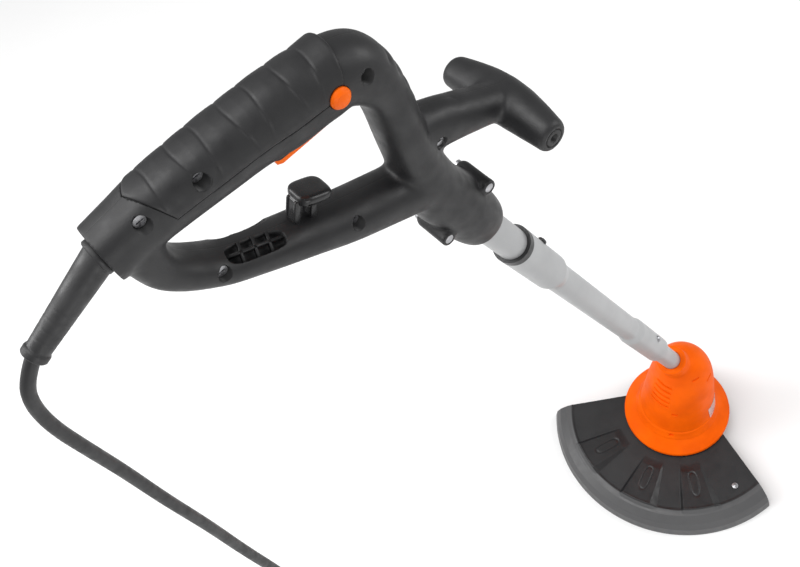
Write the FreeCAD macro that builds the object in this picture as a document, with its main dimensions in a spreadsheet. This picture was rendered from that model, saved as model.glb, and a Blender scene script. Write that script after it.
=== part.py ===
"""Corded electric string trimmer, held in its working pose.

Millimetres.  X points forward, Y to the left, Z up.  The origin is the middle
of the rear grip.  The shaft slopes down and forward from the collar of the
handle to the head, whose motor axis is vertical; the guard's rim lies level.
"""
import FreeCAD, Part
import math
import os
import re
import Sketcher
from FreeCAD import Placement, Rotation, Vector

doc = FreeCAD.newDocument("string_trimmer")

# --------------------------------------------------------------------------
# Driving dimensions
# --------------------------------------------------------------------------
SIZES = {
    # overall layout
    "shaft_slope": 70.0,
    "nose_forward": 122.0,
    "nose_drop": 215.0,
    "upper_reach": 50.0,
    "middle_length": 429.0,
    "lower_reach": 75.0,
    "axis_offset": 29.0,
    "axis_height": 172.6,
    # tubes
    "upper_dia": 25.0,
    "lower_dia": 21.6,
    "tube_wall": 1.2,
    "upper_socket_dia": 31.0,
    "lower_socket_dia": 29.0,
    "upper_overlap": 73.0,
    "lower_overlap": 84.0,
    "socket_taper": 14.0,
    "lower_swage": 115.0,
    "collar_grip": 66.0,
    "ring_length": 7.0,
    "fit_gap": 0.08,
    # snap buttons
    "snap_dia": 7.6,
    "snap_height": 2.6,
    "snap_inset": 37.0,
    "lower_snap_inset": 45.0,
    # handle
    "grip_length": 81.0,
    "grip_half": 18.6,
    "shell_wall": 2.6,
    "cover_skin": 1.8,
    "screw_recess_dia": 8.6,
    "screw_dia": 3.5,
    "boss_dia": 11.0,
    "tee_half": 46.0,
    "lock_dia": 12.4,
    "trigger_width": 15.0,
    # cord
    "cord_dia": 8.0,
    "boot_length": 62.0,
    # head
    "skirt_radius": 68.5,
    "skirt_height": 30.0,
    "housing_wall": 2.5,
    "guard_radius": 166.0,
    "guard_deck": 27.0,
    "guard_wall": 2.6,
    "motor_dia": 42.0,
    "motor_length": 62.0,
    "shaft_dia": 8.0,
    "spool_dia": 74.0,
    "line_dia": 1.4,
}
sheet = doc.addObject("Spreadsheet::Sheet", "sizes")
for row, (alias, value) in enumerate(SIZES.items(), start=1):
    sheet.set(f"A{row}", alias)
    sheet.set(f"B{row}", str(value))
    sheet.setAlias(f"B{row}", alias)
doc.recompute()


def bound(text):
    """Spell an expression of size names the way another object reads the sheet."""
    return re.sub(r"[a-z]\w*", lambda word: "sizes." + word.group() if word.group() in SIZES
                  else word.group(), text)


def size(text):
    """The number that an expression of size names gives."""
    return float(sheet.evalExpression(bound(text).replace("sizes.", "")))


# --------------------------------------------------------------------------
# Frames: the shaft line and the motor axis
# --------------------------------------------------------------------------
SLOPE = math.radians(size("shaft_slope"))
ALONG = Vector(math.cos(SLOPE), 0, -math.sin(SLOPE))
ACROSS = Vector(math.sin(SLOPE), 0, math.cos(SLOPE))
LEFT = Vector(0, 1, 0)
UP = Vector(0, 0, 1)
NOSE = Vector(size("nose_forward"), 0, -size("nose_drop"))
SOCKET_MOUTH = size("upper_reach")
MIDDLE_END = SOCKET_MOUTH + size("middle_length")
HOOD_MOUTH = MIDDLE_END + size("lower_reach")
AXIS_STATION = HOOD_MOUTH + size("axis_offset")


def on_line(station, lift=0.0, side=0.0):
    """A point by its distance along the shaft line, above it and to its left."""
    return NOSE + ALONG * station + ACROSS * lift + LEFT * side


def shaft_frame(station, turn=0.0):
    """Local Z runs down the shaft and local -X faces its front."""
    lean = Rotation(LEFT, 90 + size("shaft_slope"))
    return Placement(on_line(station), lean * Rotation(UP, turn))


CROSSING = on_line(AXIS_STATION)
RIM = Vector(CROSSING.x, 0, CROSSING.z - size("axis_height"))


def head_frame(height=0.0, turn=0.0):
    """Local Z is the motor axis and local zero is the guard's rim plane."""
    return Placement(RIM + UP * height, Rotation(UP, turn))


# --------------------------------------------------------------------------
# Makers of sub-parts
# --------------------------------------------------------------------------
PARTS = []


def body(label, place=None):
    """Start a sub-part as a body of its own."""
    part = doc.addObject("PartDesign::Body", label)
    part.Label = label
    part.Placement = place or Placement()
    PARTS.append(part)
    return part


def sketch(part, role, outlines, turn=None, lift="0"):
    """Draw closed outlines on a lifted origin plane, every size bound to the sheet.

    An outline is ("circle", x, y, radius) or a list of corners; each number is
    an expression of size names.
    """
    drawing = part.newObject("Sketcher::SketchObject", part.Label + "_sketch")
    flat = next(item for item in part.Origin.OriginFeatures if item.Role == role)
    drawing.AttachmentSupport = [(flat, "")]
    drawing.MapMode = "FlatFace"
    drawing.AttachmentOffset = Placement(Vector(0, 0, size(lift)), turn or Rotation())
    drawing.setExpression("AttachmentOffset.Base.z", bound(lift))
    for outline in outlines:
        if outline[0] == "circle":
            draw_circle(drawing, *outline[1:])
        else:
            draw_corners(drawing, outline)
    return drawing


def bind(drawing, kind, *where_and_text):
    """Add one dimension to a sketch and tie it to the sheet."""
    *where, text = where_and_text
    index = drawing.addConstraint(Sketcher.Constraint(kind, *where, size(text)))
    drawing.setExpression(f"Constraints[{index}]", bound(text))


def draw_circle(drawing, x, y, radius):
    centre = Vector(size(x), size(y), 0)
    index = drawing.addGeometry(Part.Circle(centre, UP, size(radius)))
    bind(drawing, "DistanceX", index, 3, x)
    bind(drawing, "DistanceY", index, 3, y)
    bind(drawing, "Radius", index, radius)


def draw_corners(drawing, corners):
    spots = [Vector(size(x), size(y), 0) for x, y in corners]
    first = drawing.GeometryCount
    count = len(corners)
    for step in range(count):
        drawing.addGeometry(Part.LineSegment(spots[step], spots[(step + 1) % count]))
    for step, (x, y) in enumerate(corners):
        following = first + (step + 1) % count
        drawing.addConstraint(Sketcher.Constraint("Coincident", first + step, 2, following, 1))
        bind(drawing, "DistanceX", first + step, 1, x)
        bind(drawing, "DistanceY", first + step, 1, y)


def turned(label, corners, place=None):
    """A body of revolution about local Z from corners of radius and height."""
    part = body(label, place)
    ring = part.newObject("PartDesign::Revolution", label + "_turning")
    ring.Profile = sketch(part, "XZ_Plane", [corners])
    ring.ReferenceAxis = (ring.Profile[0], ["V_Axis"])
    ring.Angle = 360
    doc.recompute()
    return part


def padded(label, role, outlines, depth, place=None, both=False):
    """A body of one pad from a sketch on an origin plane."""
    part = body(label, place)
    pad = part.newObject("PartDesign::Pad", label + "_pad")
    pad.Profile = sketch(part, role, outlines)
    pad.setExpression("Length", bound(depth))
    pad.SideType = "Symmetric" if both else "One side"
    doc.recompute()
    return part


def add_pad(part, role, outlines, depth, both=True, lift="0"):
    """Add material to a body."""
    pad = part.newObject("PartDesign::Pad", part.Label + "_more")
    pad.Profile = sketch(part, role, outlines, lift=lift)
    pad.setExpression("Length", bound(depth))
    pad.SideType = "Symmetric" if both else "One side"
    doc.recompute()
    return pad


def pocketed(part, role, outlines, depth, both=True, reversed_way=False, turn=None):
    """Cut a pocket and make sure that it removed something."""
    before = part.Shape.Volume
    pocket = part.newObject("PartDesign::Pocket", part.Label + "_pocket")
    pocket.Profile = sketch(part, role, outlines, turn)
    pocket.setExpression("Length", bound(depth))
    pocket.SideType = "Symmetric" if both else "One side"
    pocket.Reversed = reversed_way
    doc.recompute()
    if part.Shape.Volume > before - 0.01:
        raise RuntimeError(part.Label + ": a pocket cut nothing")
    return pocket


def around(part, feature, count):
    """Repeat a feature around local Z."""
    pattern = part.newObject("PartDesign::PolarPattern", part.Label + "_pattern")
    pattern.Originals = [feature]
    axis = next(item for item in part.Origin.OriginFeatures if item.Role == "Z_Axis")
    pattern.Axis = (axis, [""])
    pattern.Angle = 360
    pattern.Occurrences = count
    part.Tip = pattern
    doc.recompute()


def softened(part, radius, wanted):
    """Fillet the edges that a test picks, in the body's own frame."""
    base = part.Tip
    names = [f"Edge{step}" for step, edge in enumerate(base.Shape.Edges, start=1) if wanted(edge)]
    fillet = part.newObject("PartDesign::Fillet", part.Label + "_fillet")
    fillet.Base = (base, names)
    fillet.Radius = radius
    doc.recompute()


def shaped(label, shape, place=None):
    """A free-form sub-part whose shape is worked out in this file."""
    part = doc.addObject("Part::Feature", label)
    part.Label = label
    part.Shape = shape
    if place:
        part.Placement = place
    PARTS.append(part)
    return part


def rod(start, direction, radius, length):
    """A plain cylinder as a shape."""
    return Part.makeCylinder(radius, length, start, direction)


# --------------------------------------------------------------------------
# Handle: one bent limb, one arm, one tee, split into two shells at y = 0
# --------------------------------------------------------------------------
WALL = size("shell_wall")
GRIP = size("grip_half")
TAIL = -size("grip_length")
# centre x, centre z, direction of travel in degrees, half depth, half width
LIMB = [
    (TAIL, -5.0, 0, GRIP - 2.6, GRIP - 2.6),
    (TAIL + 19, -3.0, 2, GRIP - 2.1, GRIP - 1.8),
    (TAIL + 35, -1.5, 0, GRIP - 1.4, GRIP - 1.2),
    (-10.0, -2.0, -1, GRIP, GRIP),
    (10.0, -3.0, -3, GRIP + 0.9, GRIP),
    (30.0, -5.5, -3, GRIP + 3.2, GRIP),
    (54.0, -7.5, -10, GRIP + 2.2, GRIP),
    (74.5, -15.0, -48, GRIP + 0.4, GRIP),
    (86.0, -42.0, -86, GRIP - 4.6, GRIP - 0.4),
    (88.0, -88.0, -88, GRIP - 4.2, GRIP),
]
# station on the shaft line, radius
COLLAR = [(-84.0, 19.4), (-57.0, 20.8), (-33.0, 21.2), (-17.0, 19.8), (-9.0, 17.6), (-6.5, 15.4)]
ARM = [
    (-66.0, -12.0, -86, 14.0, 15.0),
    (-63.5, -37.0, -58, 11.3, 15.3),
    (-43.0, -61.0, -33, 10.3, 15.6),
    (-20.0, -75.5, -29, 11.0, 16.2),
    (10.0, -91.5, -27, 12.6, 17.0),
    (38.0, -105.5, -24, 14.5, 18.0),
    (88.0, -127.0, -24, 17.0, 18.4),
]
STEM = [
    (88.0, -84.0, -27, 17.5, 15.0),
    (112.0, -94.0, -27, 15.8, 14.0),
    (134.0, -104.5, -27, 13.2, 13.6),
    (161.0, -118.0, -27, 11.6, 13.0),
]
TEE_CENTRE = Vector(161.5, 0, -120.0)
TEE_BARREL = 15.2


def ring_of_points(centre, first, second, half_first, half_second, squareness=2.25):
    """A closed smooth loop on a superellipse."""
    points = []
    for step in range(16):
        angle = 2 * math.pi * step / 16
        cosine = math.cos(angle)
        sine = math.sin(angle)
        out_first = math.copysign(abs(cosine) ** (2 / squareness), cosine)
        out_second = math.copysign(abs(sine) ** (2 / squareness), sine)
        points.append(centre + first * (half_first * out_first) + second * (half_second * out_second))
    curve = Part.BSplineCurve()
    curve.interpolate(Points=points, PeriodicFlag=True)
    return Part.Wire(curve.toShape())


def section(x, z, heading, half_depth, half_width, inset):
    """A loop square to a heading in the middle plane."""
    turn = math.radians(heading)
    normal = Vector(-math.sin(turn), 0, math.cos(turn))
    return ring_of_points(Vector(x, 0, z), normal, LEFT, half_depth - inset, half_width - inset)


def round_section(station, radius, inset):
    return ring_of_points(on_line(station), ACROSS, LEFT, radius - inset, radius - inset, 2.0)


def lofted(loops, ruled=False):
    """A solid through closed loops; the outside is smooth and the hollow is ruled."""
    return Part.makeLoft(loops, True, ruled)


def limb_solid(inset):
    loops = [section(*row, inset) for row in LIMB]
    loops += [round_section(*row, inset) for row in COLLAR]
    return lofted(loops)


def limb_hollow():
    tail = (TAIL + WALL,) + LIMB[0][1:]
    loops = [section(*row, WALL) for row in [tail] + LIMB[1:]]
    loops.append(round_section(*COLLAR[0], WALL))
    return lofted(loops, ruled=True)


def tee_bar(inset):
    """The cross bar: a barrel that narrows to both ends."""
    half = size("tee_half")
    reach = [(-1.0, 0.60), (-0.95, 0.68), (-0.62, 0.83), (-0.3, 0.95), (0, 1.0),
             (0.3, 0.95), (0.62, 0.83), (0.95, 0.68), (1.0, 0.60)]
    loops = []
    for share, swell in reach:
        bow = Vector(2.0 * share * share, 0, 1.5 * share * share)
        centre = TEE_CENTRE + LEFT * (half - inset) * share - bow
        radius = TEE_BARREL * swell - inset
        loops.append(ring_of_points(centre, UP, Vector(1, 0, 0), radius, radius, 2.0))
    return lofted(loops, ruled=inset > 0)


# screw places: x and z
SCREWS = [(-57.0, 6.5), (-23.5, 6.0), (74.0, -9.0), (-42.0, -58.0), (35.0, -98.0), (103.5, -95.0)]
CLAMP_LIFT = 21.0
CLAMP_STATION = -50.0
LOCK = Vector(56.0, 0, -8.0)
PIVOT = Vector(49.0, 0, -21.0)

outer = limb_solid(0.0)
arm_outer = lofted([section(*row, 0.0) for row in ARM])
stem_outer = lofted([section(*row, 0.0) for row in STEM])
handle = outer.fuse(arm_outer).fuse(stem_outer).fuse(tee_bar(0.0))
for side in (1, -1):
    start = on_line(CLAMP_STATION, side * CLAMP_LIFT, -16.5)
    handle = handle.fuse(rod(start, LEFT, size("boss_dia / 2"), 33.0))
hollow = limb_hollow()
arm_inner = lofted([section(*row, WALL) for row in ARM[:-1]], ruled=True)
stem_inner = lofted([section(*row, WALL) for row in STEM], ruled=True)
hollow = hollow.fuse(arm_inner).fuse(stem_inner).fuse(tee_bar(WALL))

PIN_REACH = 13.5
bore = rod(on_line(-size("collar_grip")), ALONG, size("upper_dia / 2 + fit_gap"), size("collar_grip") + 20)
lead_bore = rod(on_line(-95), ALONG, 7.0, 60.0)
boot_bore = rod(Vector(TAIL - 1, 0, -5.0), Vector(1, 0, 0), 7.6, 8.0)

# posts for the shell screws stand inside the hollow
posts = None
for x, z in SCREWS:
    post = rod(Vector(x, -25, z), LEFT, 5.6, 50.0)
    posts = post if posts is None else posts.fuse(post)
# ribs that carry the switch stand in it too
posts = posts.fuse(Part.makeBox(3, 50, 12, Vector(-9, -25, -25)))
for side in (9.0, -25.0):
    posts = posts.fuse(Part.makeBox(3, 16, 36, Vector(20, side, -24)))
hollow = hollow.cut(posts)
shell_body = handle.cut(hollow).cut(bore).cut(lead_bore).cut(boot_bore)

# screw recesses open on the right, pilot holes run through to the left shell
HEAD_DEPTH = 9.0
for x, z in SCREWS:
    recess = rod(Vector(x, -26, z), LEFT, size("screw_recess_dia / 2"), 26 - HEAD_DEPTH)
    pilot = rod(Vector(x, -HEAD_DEPTH - 1, z), LEFT, size("screw_dia / 2"), HEAD_DEPTH + 9)
    shell_body = shell_body.cut(recess).cut(pilot)
for side in (1, -1):
    middle = on_line(CLAMP_STATION, side * CLAMP_LIFT)
    shell_body = shell_body.cut(rod(middle - LEFT * 20, LEFT, size("screw_dia / 2"), 40.0))
    shell_body = shell_body.cut(rod(middle - LEFT * 17, LEFT, 3.6, 4.0))
    shell_body = shell_body.cut(rod(middle + LEFT * 13, LEFT, 3.6, 4.0))

# trigger slot, lock bore, vents, hook slot
TRIGGER_HALF = size("trigger_width / 2")
slot_gap = 0.4
trigger_slot = Part.makeBox(44.5, 2 * (TRIGGER_HALF + slot_gap), 20.0,
                            Vector(11.5, -TRIGGER_HALF - slot_gap, -34.0))
shell_body = shell_body.cut(trigger_slot)
shell_body = shell_body.cut(rod(PIVOT - LEFT * PIN_REACH, LEFT, 1.5, 2 * PIN_REACH))
lock_bore = rod(LOCK - LEFT * 30, LEFT, size("lock_dia / 2 + fit_gap"), 30.0)
shell_body = shell_body.cut(lock_bore)
VENT_CENTRE = Vector(-14.0, 0, -74.5)
VENT_SLOPE = 28.0


def vent_block(length, height, y_low, y_high):
    """A stadium block square to the side wall, turned along the arm."""
    radius = height / 2
    flat = length / 2 - radius
    block = Part.makeBox(2 * flat, y_high - y_low, height, Vector(-flat, y_low, -radius))
    for end in (-flat, flat):
        block = block.fuse(rod(Vector(end, y_low, 0), LEFT, radius, y_high - y_low))
    block.Placement = Placement(VENT_CENTRE, Rotation(LEFT, VENT_SLOPE))
    return block


VENT_LENGTH = 36.0
VENT_HEIGHT = 13.0
shell_body = shell_body.cut(vent_block(VENT_LENGTH, VENT_HEIGHT, -25, 25))

# the soft cover lies in a shallow step around the upper half of the grip
COVER_START = TAIL + 31.0
COVER_END = 62.0
COVER_EDGE = 0.0
cover_zone = Part.makeBox(COVER_END - COVER_START, 60, 40, Vector(COVER_START, -30, COVER_EDGE))
cover = outer.cut(limb_solid(size("cover_skin"))).common(cover_zone)
shell_body = shell_body.cut(cover)
for x, z in SCREWS[:2]:
    cover = cover.cut(rod(Vector(x, -26, z), LEFT, size("screw_recess_dia / 2 + 0.5"), 26))
cover = cover.cut(rod(LOCK - LEFT * 30, LEFT, size("lock_dia / 2 + 0.6"), 30.0))
# --------------------------------------------------------------------------
# Cord hook: two legs through the arm carry a channelled paddle
# --------------------------------------------------------------------------
HOOK_FRAME = Placement(Vector(11.5, 0, -79.5), Rotation(LEFT, 27.0))
LEG_ROOT = -6.0
hook = Part.makeBox(21.0, 20.0, 5.4, Vector(-5.0, -10.0, 14.0))
hook = hook.makeFillet(2.4, [edge for edge in hook.Edges if edge.BoundBox.ZMax > 19])
hook = hook.cut(Part.makeBox(16.5, 30.0, 1.8, Vector(-2.5, -15.0, 15.6)))
for start in (-6.5, 4.5):
    leg = Part.makeBox(3.0, 10.0, 14.2 - LEG_ROOT, Vector(start, -5.0, LEG_ROOT))
    hook = hook.fuse(leg)
hook.Placement = HOOK_FRAME
hook_slots = None
for start in (-6.5, 4.5):
    slot = Part.makeBox(3.0, 10.0, 12.0, Vector(start, -5.0, LEG_ROOT))
    hook_slots = slot if hook_slots is None else hook_slots.fuse(slot)
hook_slots.Placement = HOOK_FRAME
shell_body = shell_body.cut(hook_slots)

right_space = Part.makeBox(400, 100, 500, Vector(-150, -100, -350))
left_space = Part.makeBox(400, 100, 500, Vector(-150, 0, -350))
shaped("right_shell", shell_body.common(right_space))
shaped("left_shell", shell_body.common(left_space))
shaped("grip_cover", cover)

shaped("cord_hook", hook)

# --------------------------------------------------------------------------
# Handle internals and controls
# --------------------------------------------------------------------------
trigger = padded("trigger", "XZ_Plane", [[
    ("-35.5", "1.5"), ("1", "4.5"), ("4", "2"), ("4.5", "-4"), ("1", "-8.3"),
    ("-32", "-9"), ("-35", "-7.4"),
]], "trigger_width", Placement(PIVOT, Rotation()), both=True)
softened(trigger, 1.2, lambda edge: edge.BoundBox.YLength < 0.1 and edge.BoundBox.ZMax < -7)
pocketed(trigger, "XZ_Plane", [("circle", "0", "0", "1.5 + fit_gap / 2")], "trigger_width + 2")
pocketed(trigger, "XZ_Plane", [("circle", "0", "0", "3.9")], "4.4")
padded("trigger_pin", "XZ_Plane", [("circle", "0", "0", "1.5")], str(2 * PIN_REACH),
             Placement(PIVOT, Rotation()), both=True)
coil_path = Part.makeHelix(1.1, 3.3, 2.7)
coil_section = Part.Wire(Part.makeCircle(0.4, Vector(2.7, 0, 0), LEFT))
coil = Part.Wire(coil_path.Edges).makePipeShell([coil_section], True, True)
shaped("trigger_spring", coil, Placement(PIVOT - LEFT * 1.65, Rotation(Vector(1, 0, 0), -90)))

padded("switch_case", "XZ_Plane", [[
    ("-14", "-13"), ("24", "-13"), ("24", "6"), ("-14", "6"),
]], "18", both=True)
padded("switch_terminals", "XY_Plane", [
    [("-12", "-6"), ("-6", "-6"), ("-6", "-5.2"), ("-12", "-5.2")],
    [("-12", "5.2"), ("-6", "5.2"), ("-6", "6"), ("-12", "6")],
], "7", Placement(Vector(0, 0, 6), Rotation()))

turned("lock_button", [
    ("0", "0"), ("lock_dia / 2", "0"), ("lock_dia / 2", "7"), ("lock_dia / 2 - 0.9", "8.3"),
    ("lock_dia / 2 - 2.4", "9.3"), ("0", "9.9"),
], Placement(LOCK - LEFT * 12, Rotation(Vector(1, 0, 0), 90)))
turned("lock_stem", [("0", "0"), ("2.6", "0"), ("2.6", "9.5"), ("0", "9.5")],
                   Placement(LOCK - LEFT * 2.5, Rotation(Vector(1, 0, 0), 90)))
lock_coil_path = Part.makeHelix(1.6, 6.4, 4.1)
lock_coil_section = Part.Wire(Part.makeCircle(0.4, Vector(4.1, 0, 0), LEFT))
lock_coil = Part.Wire(lock_coil_path.Edges).makePipeShell([lock_coil_section], True, True)
shaped("lock_spring", lock_coil, Placement(LOCK - LEFT * 11.4, Rotation(Vector(1, 0, 0), -90)))

# plain-headed screws that close the shells, all alike
screws = []
for x, z in SCREWS:
    head = rod(Vector(x, -HEAD_DEPTH - 2.4, z), LEFT, size("screw_dia"), 2.4)
    shank = rod(Vector(x, -HEAD_DEPTH, z), LEFT, size("screw_dia / 2"), HEAD_DEPTH + 7)
    drive = Part.makeBox(4.4, 1.2, 0.9, Vector(x - 2.2, -HEAD_DEPTH - 2.4, z - 0.45))
    screws.append(head.fuse(shank).cut(drive))
shaped("shell_screws", Part.makeCompound(screws))
clamp_screws = []
clamp_nuts = []
for side in (1, -1):
    middle = on_line(CLAMP_STATION, side * CLAMP_LIFT)
    head = rod(middle - LEFT * 16, LEFT, 3.3, 3.0)
    shank = rod(middle - LEFT * 13, LEFT, size("screw_dia / 2 - fit_gap"), 28.0)
    clamp_screws.append(head.fuse(shank))
    nut = rod(middle + LEFT * 13, LEFT, 3.3, 2.4)
    clamp_nuts.append(nut.cut(rod(middle, LEFT, size("screw_dia / 2 - fit_gap"), 30.0)))
shaped("clamp_screws", Part.makeCompound(clamp_screws))
shaped("clamp_nuts", Part.makeCompound(clamp_nuts))

# side vents: a barred plate in each wall
BARS_X = [("-13.6", "-5.2"), ("-4.1", "4.1"), ("5.2", "13.6")]
BARS_Z = [("-4.6", "-0.7"), ("0.7", "4.6")]
grid = [[("-17.5", "-1.8"), ("-13", "-6.2"), ("13", "-6.2"), ("17.5", "-1.8"),
         ("17.5", "1.8"), ("13", "6.2"), ("-13", "6.2"), ("-17.5", "1.8")]]
for left_edge, right_edge in BARS_X:
    for low_edge, high_edge in BARS_Z:
        grid.append([(left_edge, low_edge), (right_edge, low_edge),
                     (right_edge, high_edge), (left_edge, high_edge)])
for name, side in (("right_vent_grille", -1), ("left_vent_grille", 1)):
    spot = VENT_CENTRE + LEFT * (side * 14.2)
    padded(name, "XZ_Plane", grid, "1.8", Placement(spot, Rotation(LEFT, VENT_SLOPE)), both=True)

# --------------------------------------------------------------------------
# Cord entry, cord and plug
# --------------------------------------------------------------------------
BOOT_ROOT = Vector(TAIL, 0, -5.0)
BOOT_DROP = 23.0
BOOT_LINE = Vector(-math.cos(math.radians(BOOT_DROP)), 0, -math.sin(math.radians(BOOT_DROP)))
BOOT = size("boot_length")
CORD_RADIUS = size("cord_dia / 2")
flange = rod(BOOT_ROOT, Vector(-1, 0, 0), 10.2, 3.4)
root = rod(BOOT_ROOT + Vector(WALL + 2.4, 0, 0), Vector(-1, 0, 0), 7.5, WALL + 2.4)
lip = rod(BOOT_ROOT + Vector(WALL + 2.6, 0, 0), Vector(-1, 0, 0), 9.4, 2.4)
sleeve = Part.makeCone(8.8, 6.6, BOOT - 5, BOOT_ROOT, BOOT_LINE)
bead = Part.makeCone(7.4, 7.2, 5.0, BOOT_ROOT + BOOT_LINE * (BOOT - 5), BOOT_LINE)
trim = Part.makeBox(60, 60, 60, Vector(TAIL, -30, -35))
boot = sleeve.fuse(bead).cut(trim).fuse(flange).fuse(root).fuse(lip)
boot = boot.cut(rod(BOOT_ROOT - BOOT_LINE * 20, BOOT_LINE, CORD_RADIUS, BOOT + 30))
shaped("cable_boot", boot)

inner_cord = rod(BOOT_ROOT - BOOT_LINE * 6, BOOT_LINE, CORD_RADIUS, BOOT + 6)
shaped("cord_in_boot", inner_cord)

# the free length hangs from the boot: a point list, then the plug
CORD_START = BOOT_ROOT + BOOT_LINE * BOOT
CORD_ROUTE = [
    (0.0, 0.0), (-12.0, -10.0), (-19.9, -26.2), (-23.4, -50.9), (-23.1, -84.0), (-22.4, -124.0),
    (-23.0, -178.0), (-22.0, -240.0), (-22.8, -306.0), (-22.0, -374.0), (-22.4, -444.0),
]
route = [CORD_START + Vector(x, 0, z) for x, z in CORD_ROUTE]


def rounded_path(points):
    """Straight runs joined by tangent arcs, each as large as its runs allow."""
    edges = []
    radii = []
    last = points[0]
    for before, corner, after in zip(points, points[1:], points[2:]):
        run_in = corner - before
        run_out = after - corner
        half_turn = run_in.getAngle(run_out) / 2
        shorter = min(run_in.Length, run_out.Length)
        setback = 0.45 * shorter
        radii.append(setback / math.tan(half_turn))
        to_before = (before - corner).normalize()
        to_after = (after - corner).normalize()
        begin = corner + to_before * setback
        finish = corner + to_after * setback
        bisector = (to_before + to_after).normalize()
        reach = radii[-1] / math.cos(half_turn) - radii[-1]
        edges.append(Part.LineSegment(last, begin).toShape())
        edges.append(Part.Arc(begin, corner + bisector * reach, finish).toShape())
        last = finish
    edges.append(Part.LineSegment(last, points[-1]).toShape())
    return Part.Wire(edges), radii


cord_path, cord_radii = rounded_path(route)
start_ring = Part.Wire(Part.makeCircle(CORD_RADIUS, route[0], (route[1] - route[0]).normalize()))
cord = cord_path.makePipeShell([start_ring], True, False)
print("cord radii", [round(radius) for radius in cord_radii], "length", round(cord_path.Length))
expected = math.pi * CORD_RADIUS ** 2 * cord_path.Length
print("cord volume over section times length", round(cord.Volume / expected, 4))
shaped("supply_cord", cord)

PLUG_TOP = route[-1]
plug_place = Placement(PLUG_TOP, Rotation(Vector(1, 0, 0), 180))
plug = turned("plug_body", [
    ("0", "0"), ("cord_dia / 2 + 1.6", "0"), ("cord_dia / 2 + 3", "16"), ("12", "24"),
    ("17.5", "29"), ("17.5", "42"), ("0", "42"),
], plug_place)
softened(plug, 1.5, lambda edge: edge.BoundBox.XLength > 34)
PIN_CIRCLE = 9.5
padded("plug_pins", "XY_Plane", [
    ("circle", str(-PIN_CIRCLE), "0", "2.4"), ("circle", str(PIN_CIRCLE), "0", "2.4"),
], "19", Placement(PLUG_TOP - UP * 42, Rotation(Vector(1, 0, 0), 180)))

# --------------------------------------------------------------------------
# Shaft: three tubes, two sliding fits, two snap buttons
# --------------------------------------------------------------------------
UPPER_END = "(upper_reach + upper_overlap - 5)"
MIDDLE_TIP = "(upper_reach + middle_length)"
SOCKET_END = "(upper_reach + upper_overlap + 7)"
SWAGE = "(upper_reach + middle_length - lower_swage)"


def pipe(outside, inside, start, finish):
    return [(inside, start), (outside, start), (outside, finish), (inside, finish)]


upper_snap = "(upper_reach + snap_inset)"
lower_snap = "(upper_reach + middle_length - lower_snap_inset)"
hole = "snap_dia / 2 + 0.3"
LOWER_TURN = 42.0
shaft = shaft_frame(0)
upper_tube = turned("upper_tube", pipe("upper_dia / 2", "upper_dia / 2 - tube_wall",
                                       "-collar_grip", UPPER_END), shaft)
pocketed(upper_tube, "YZ_Plane", [("circle", "0", upper_snap, hole)], "upper_dia", both=False)
socket_ring = turned("socket_ring", [
    ("upper_dia / 2 + fit_gap", "upper_reach"), ("upper_socket_dia / 2", "upper_reach"),
    ("upper_socket_dia / 2", "upper_reach + ring_length"),
    ("upper_socket_dia / 2 - tube_wall - fit_gap", "upper_reach + ring_length"),
    ("upper_socket_dia / 2 - tube_wall - fit_gap", UPPER_END),
    ("upper_dia / 2 + fit_gap", UPPER_END),
], shaft)
pocketed(socket_ring, "YZ_Plane", [("circle", "0", upper_snap, hole)], "upper_dia", both=False)
middle_tube = turned("middle_tube", [
    ("upper_socket_dia / 2 - tube_wall", "upper_reach + ring_length"),
    ("upper_socket_dia / 2", "upper_reach + ring_length"),
    ("upper_socket_dia / 2", SOCKET_END),
    ("upper_dia / 2", SOCKET_END + " + socket_taper"),
    ("upper_dia / 2", SWAGE),
    ("lower_socket_dia / 2", SWAGE + " + socket_taper"),
    ("lower_socket_dia / 2", MIDDLE_TIP),
    ("lower_socket_dia / 2 - tube_wall", MIDDLE_TIP),
    ("lower_socket_dia / 2 - tube_wall", SWAGE + " + socket_taper"),
    ("upper_dia / 2 - tube_wall", SWAGE),
    ("upper_dia / 2 - tube_wall", SOCKET_END + " + socket_taper"),
    ("upper_socket_dia / 2 - tube_wall", SOCKET_END),
], shaft)
pocketed(middle_tube, "YZ_Plane", [("circle", "0", upper_snap, hole)], "upper_dia", both=False)
turned_flat = Rotation(LEFT, LOWER_TURN)
pocketed(middle_tube, "YZ_Plane", [("circle", "0", lower_snap, hole)], "upper_dia",
                      both=False, turn=turned_flat)
lower_liner = turned("lower_liner", pipe("lower_socket_dia / 2 - tube_wall - fit_gap",
                                         "lower_dia / 2 + fit_gap",
                                         MIDDLE_TIP + " - lower_overlap", MIDDLE_TIP), shaft)
pocketed(lower_liner, "YZ_Plane", [("circle", "0", lower_snap, hole)], "upper_dia",
         both=False, turn=turned_flat)
lower_tube = turned("lower_tube", pipe("lower_dia / 2", "lower_dia / 2 - tube_wall",
                                       MIDDLE_TIP + " - lower_overlap",
                                       MIDDLE_TIP + " + lower_reach + 10"), shaft)
pocketed(lower_tube, "YZ_Plane", [("circle", "0", lower_snap, hole)], "upper_dia",
         both=False, turn=turned_flat)


def snap_frame(station, turn):
    """Local Z points out of the tube wall and local X runs down the shaft."""
    frame = shaft_frame(station, turn)
    return Placement(frame.Base, frame.Rotation * Rotation(LEFT, -90))


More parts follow.
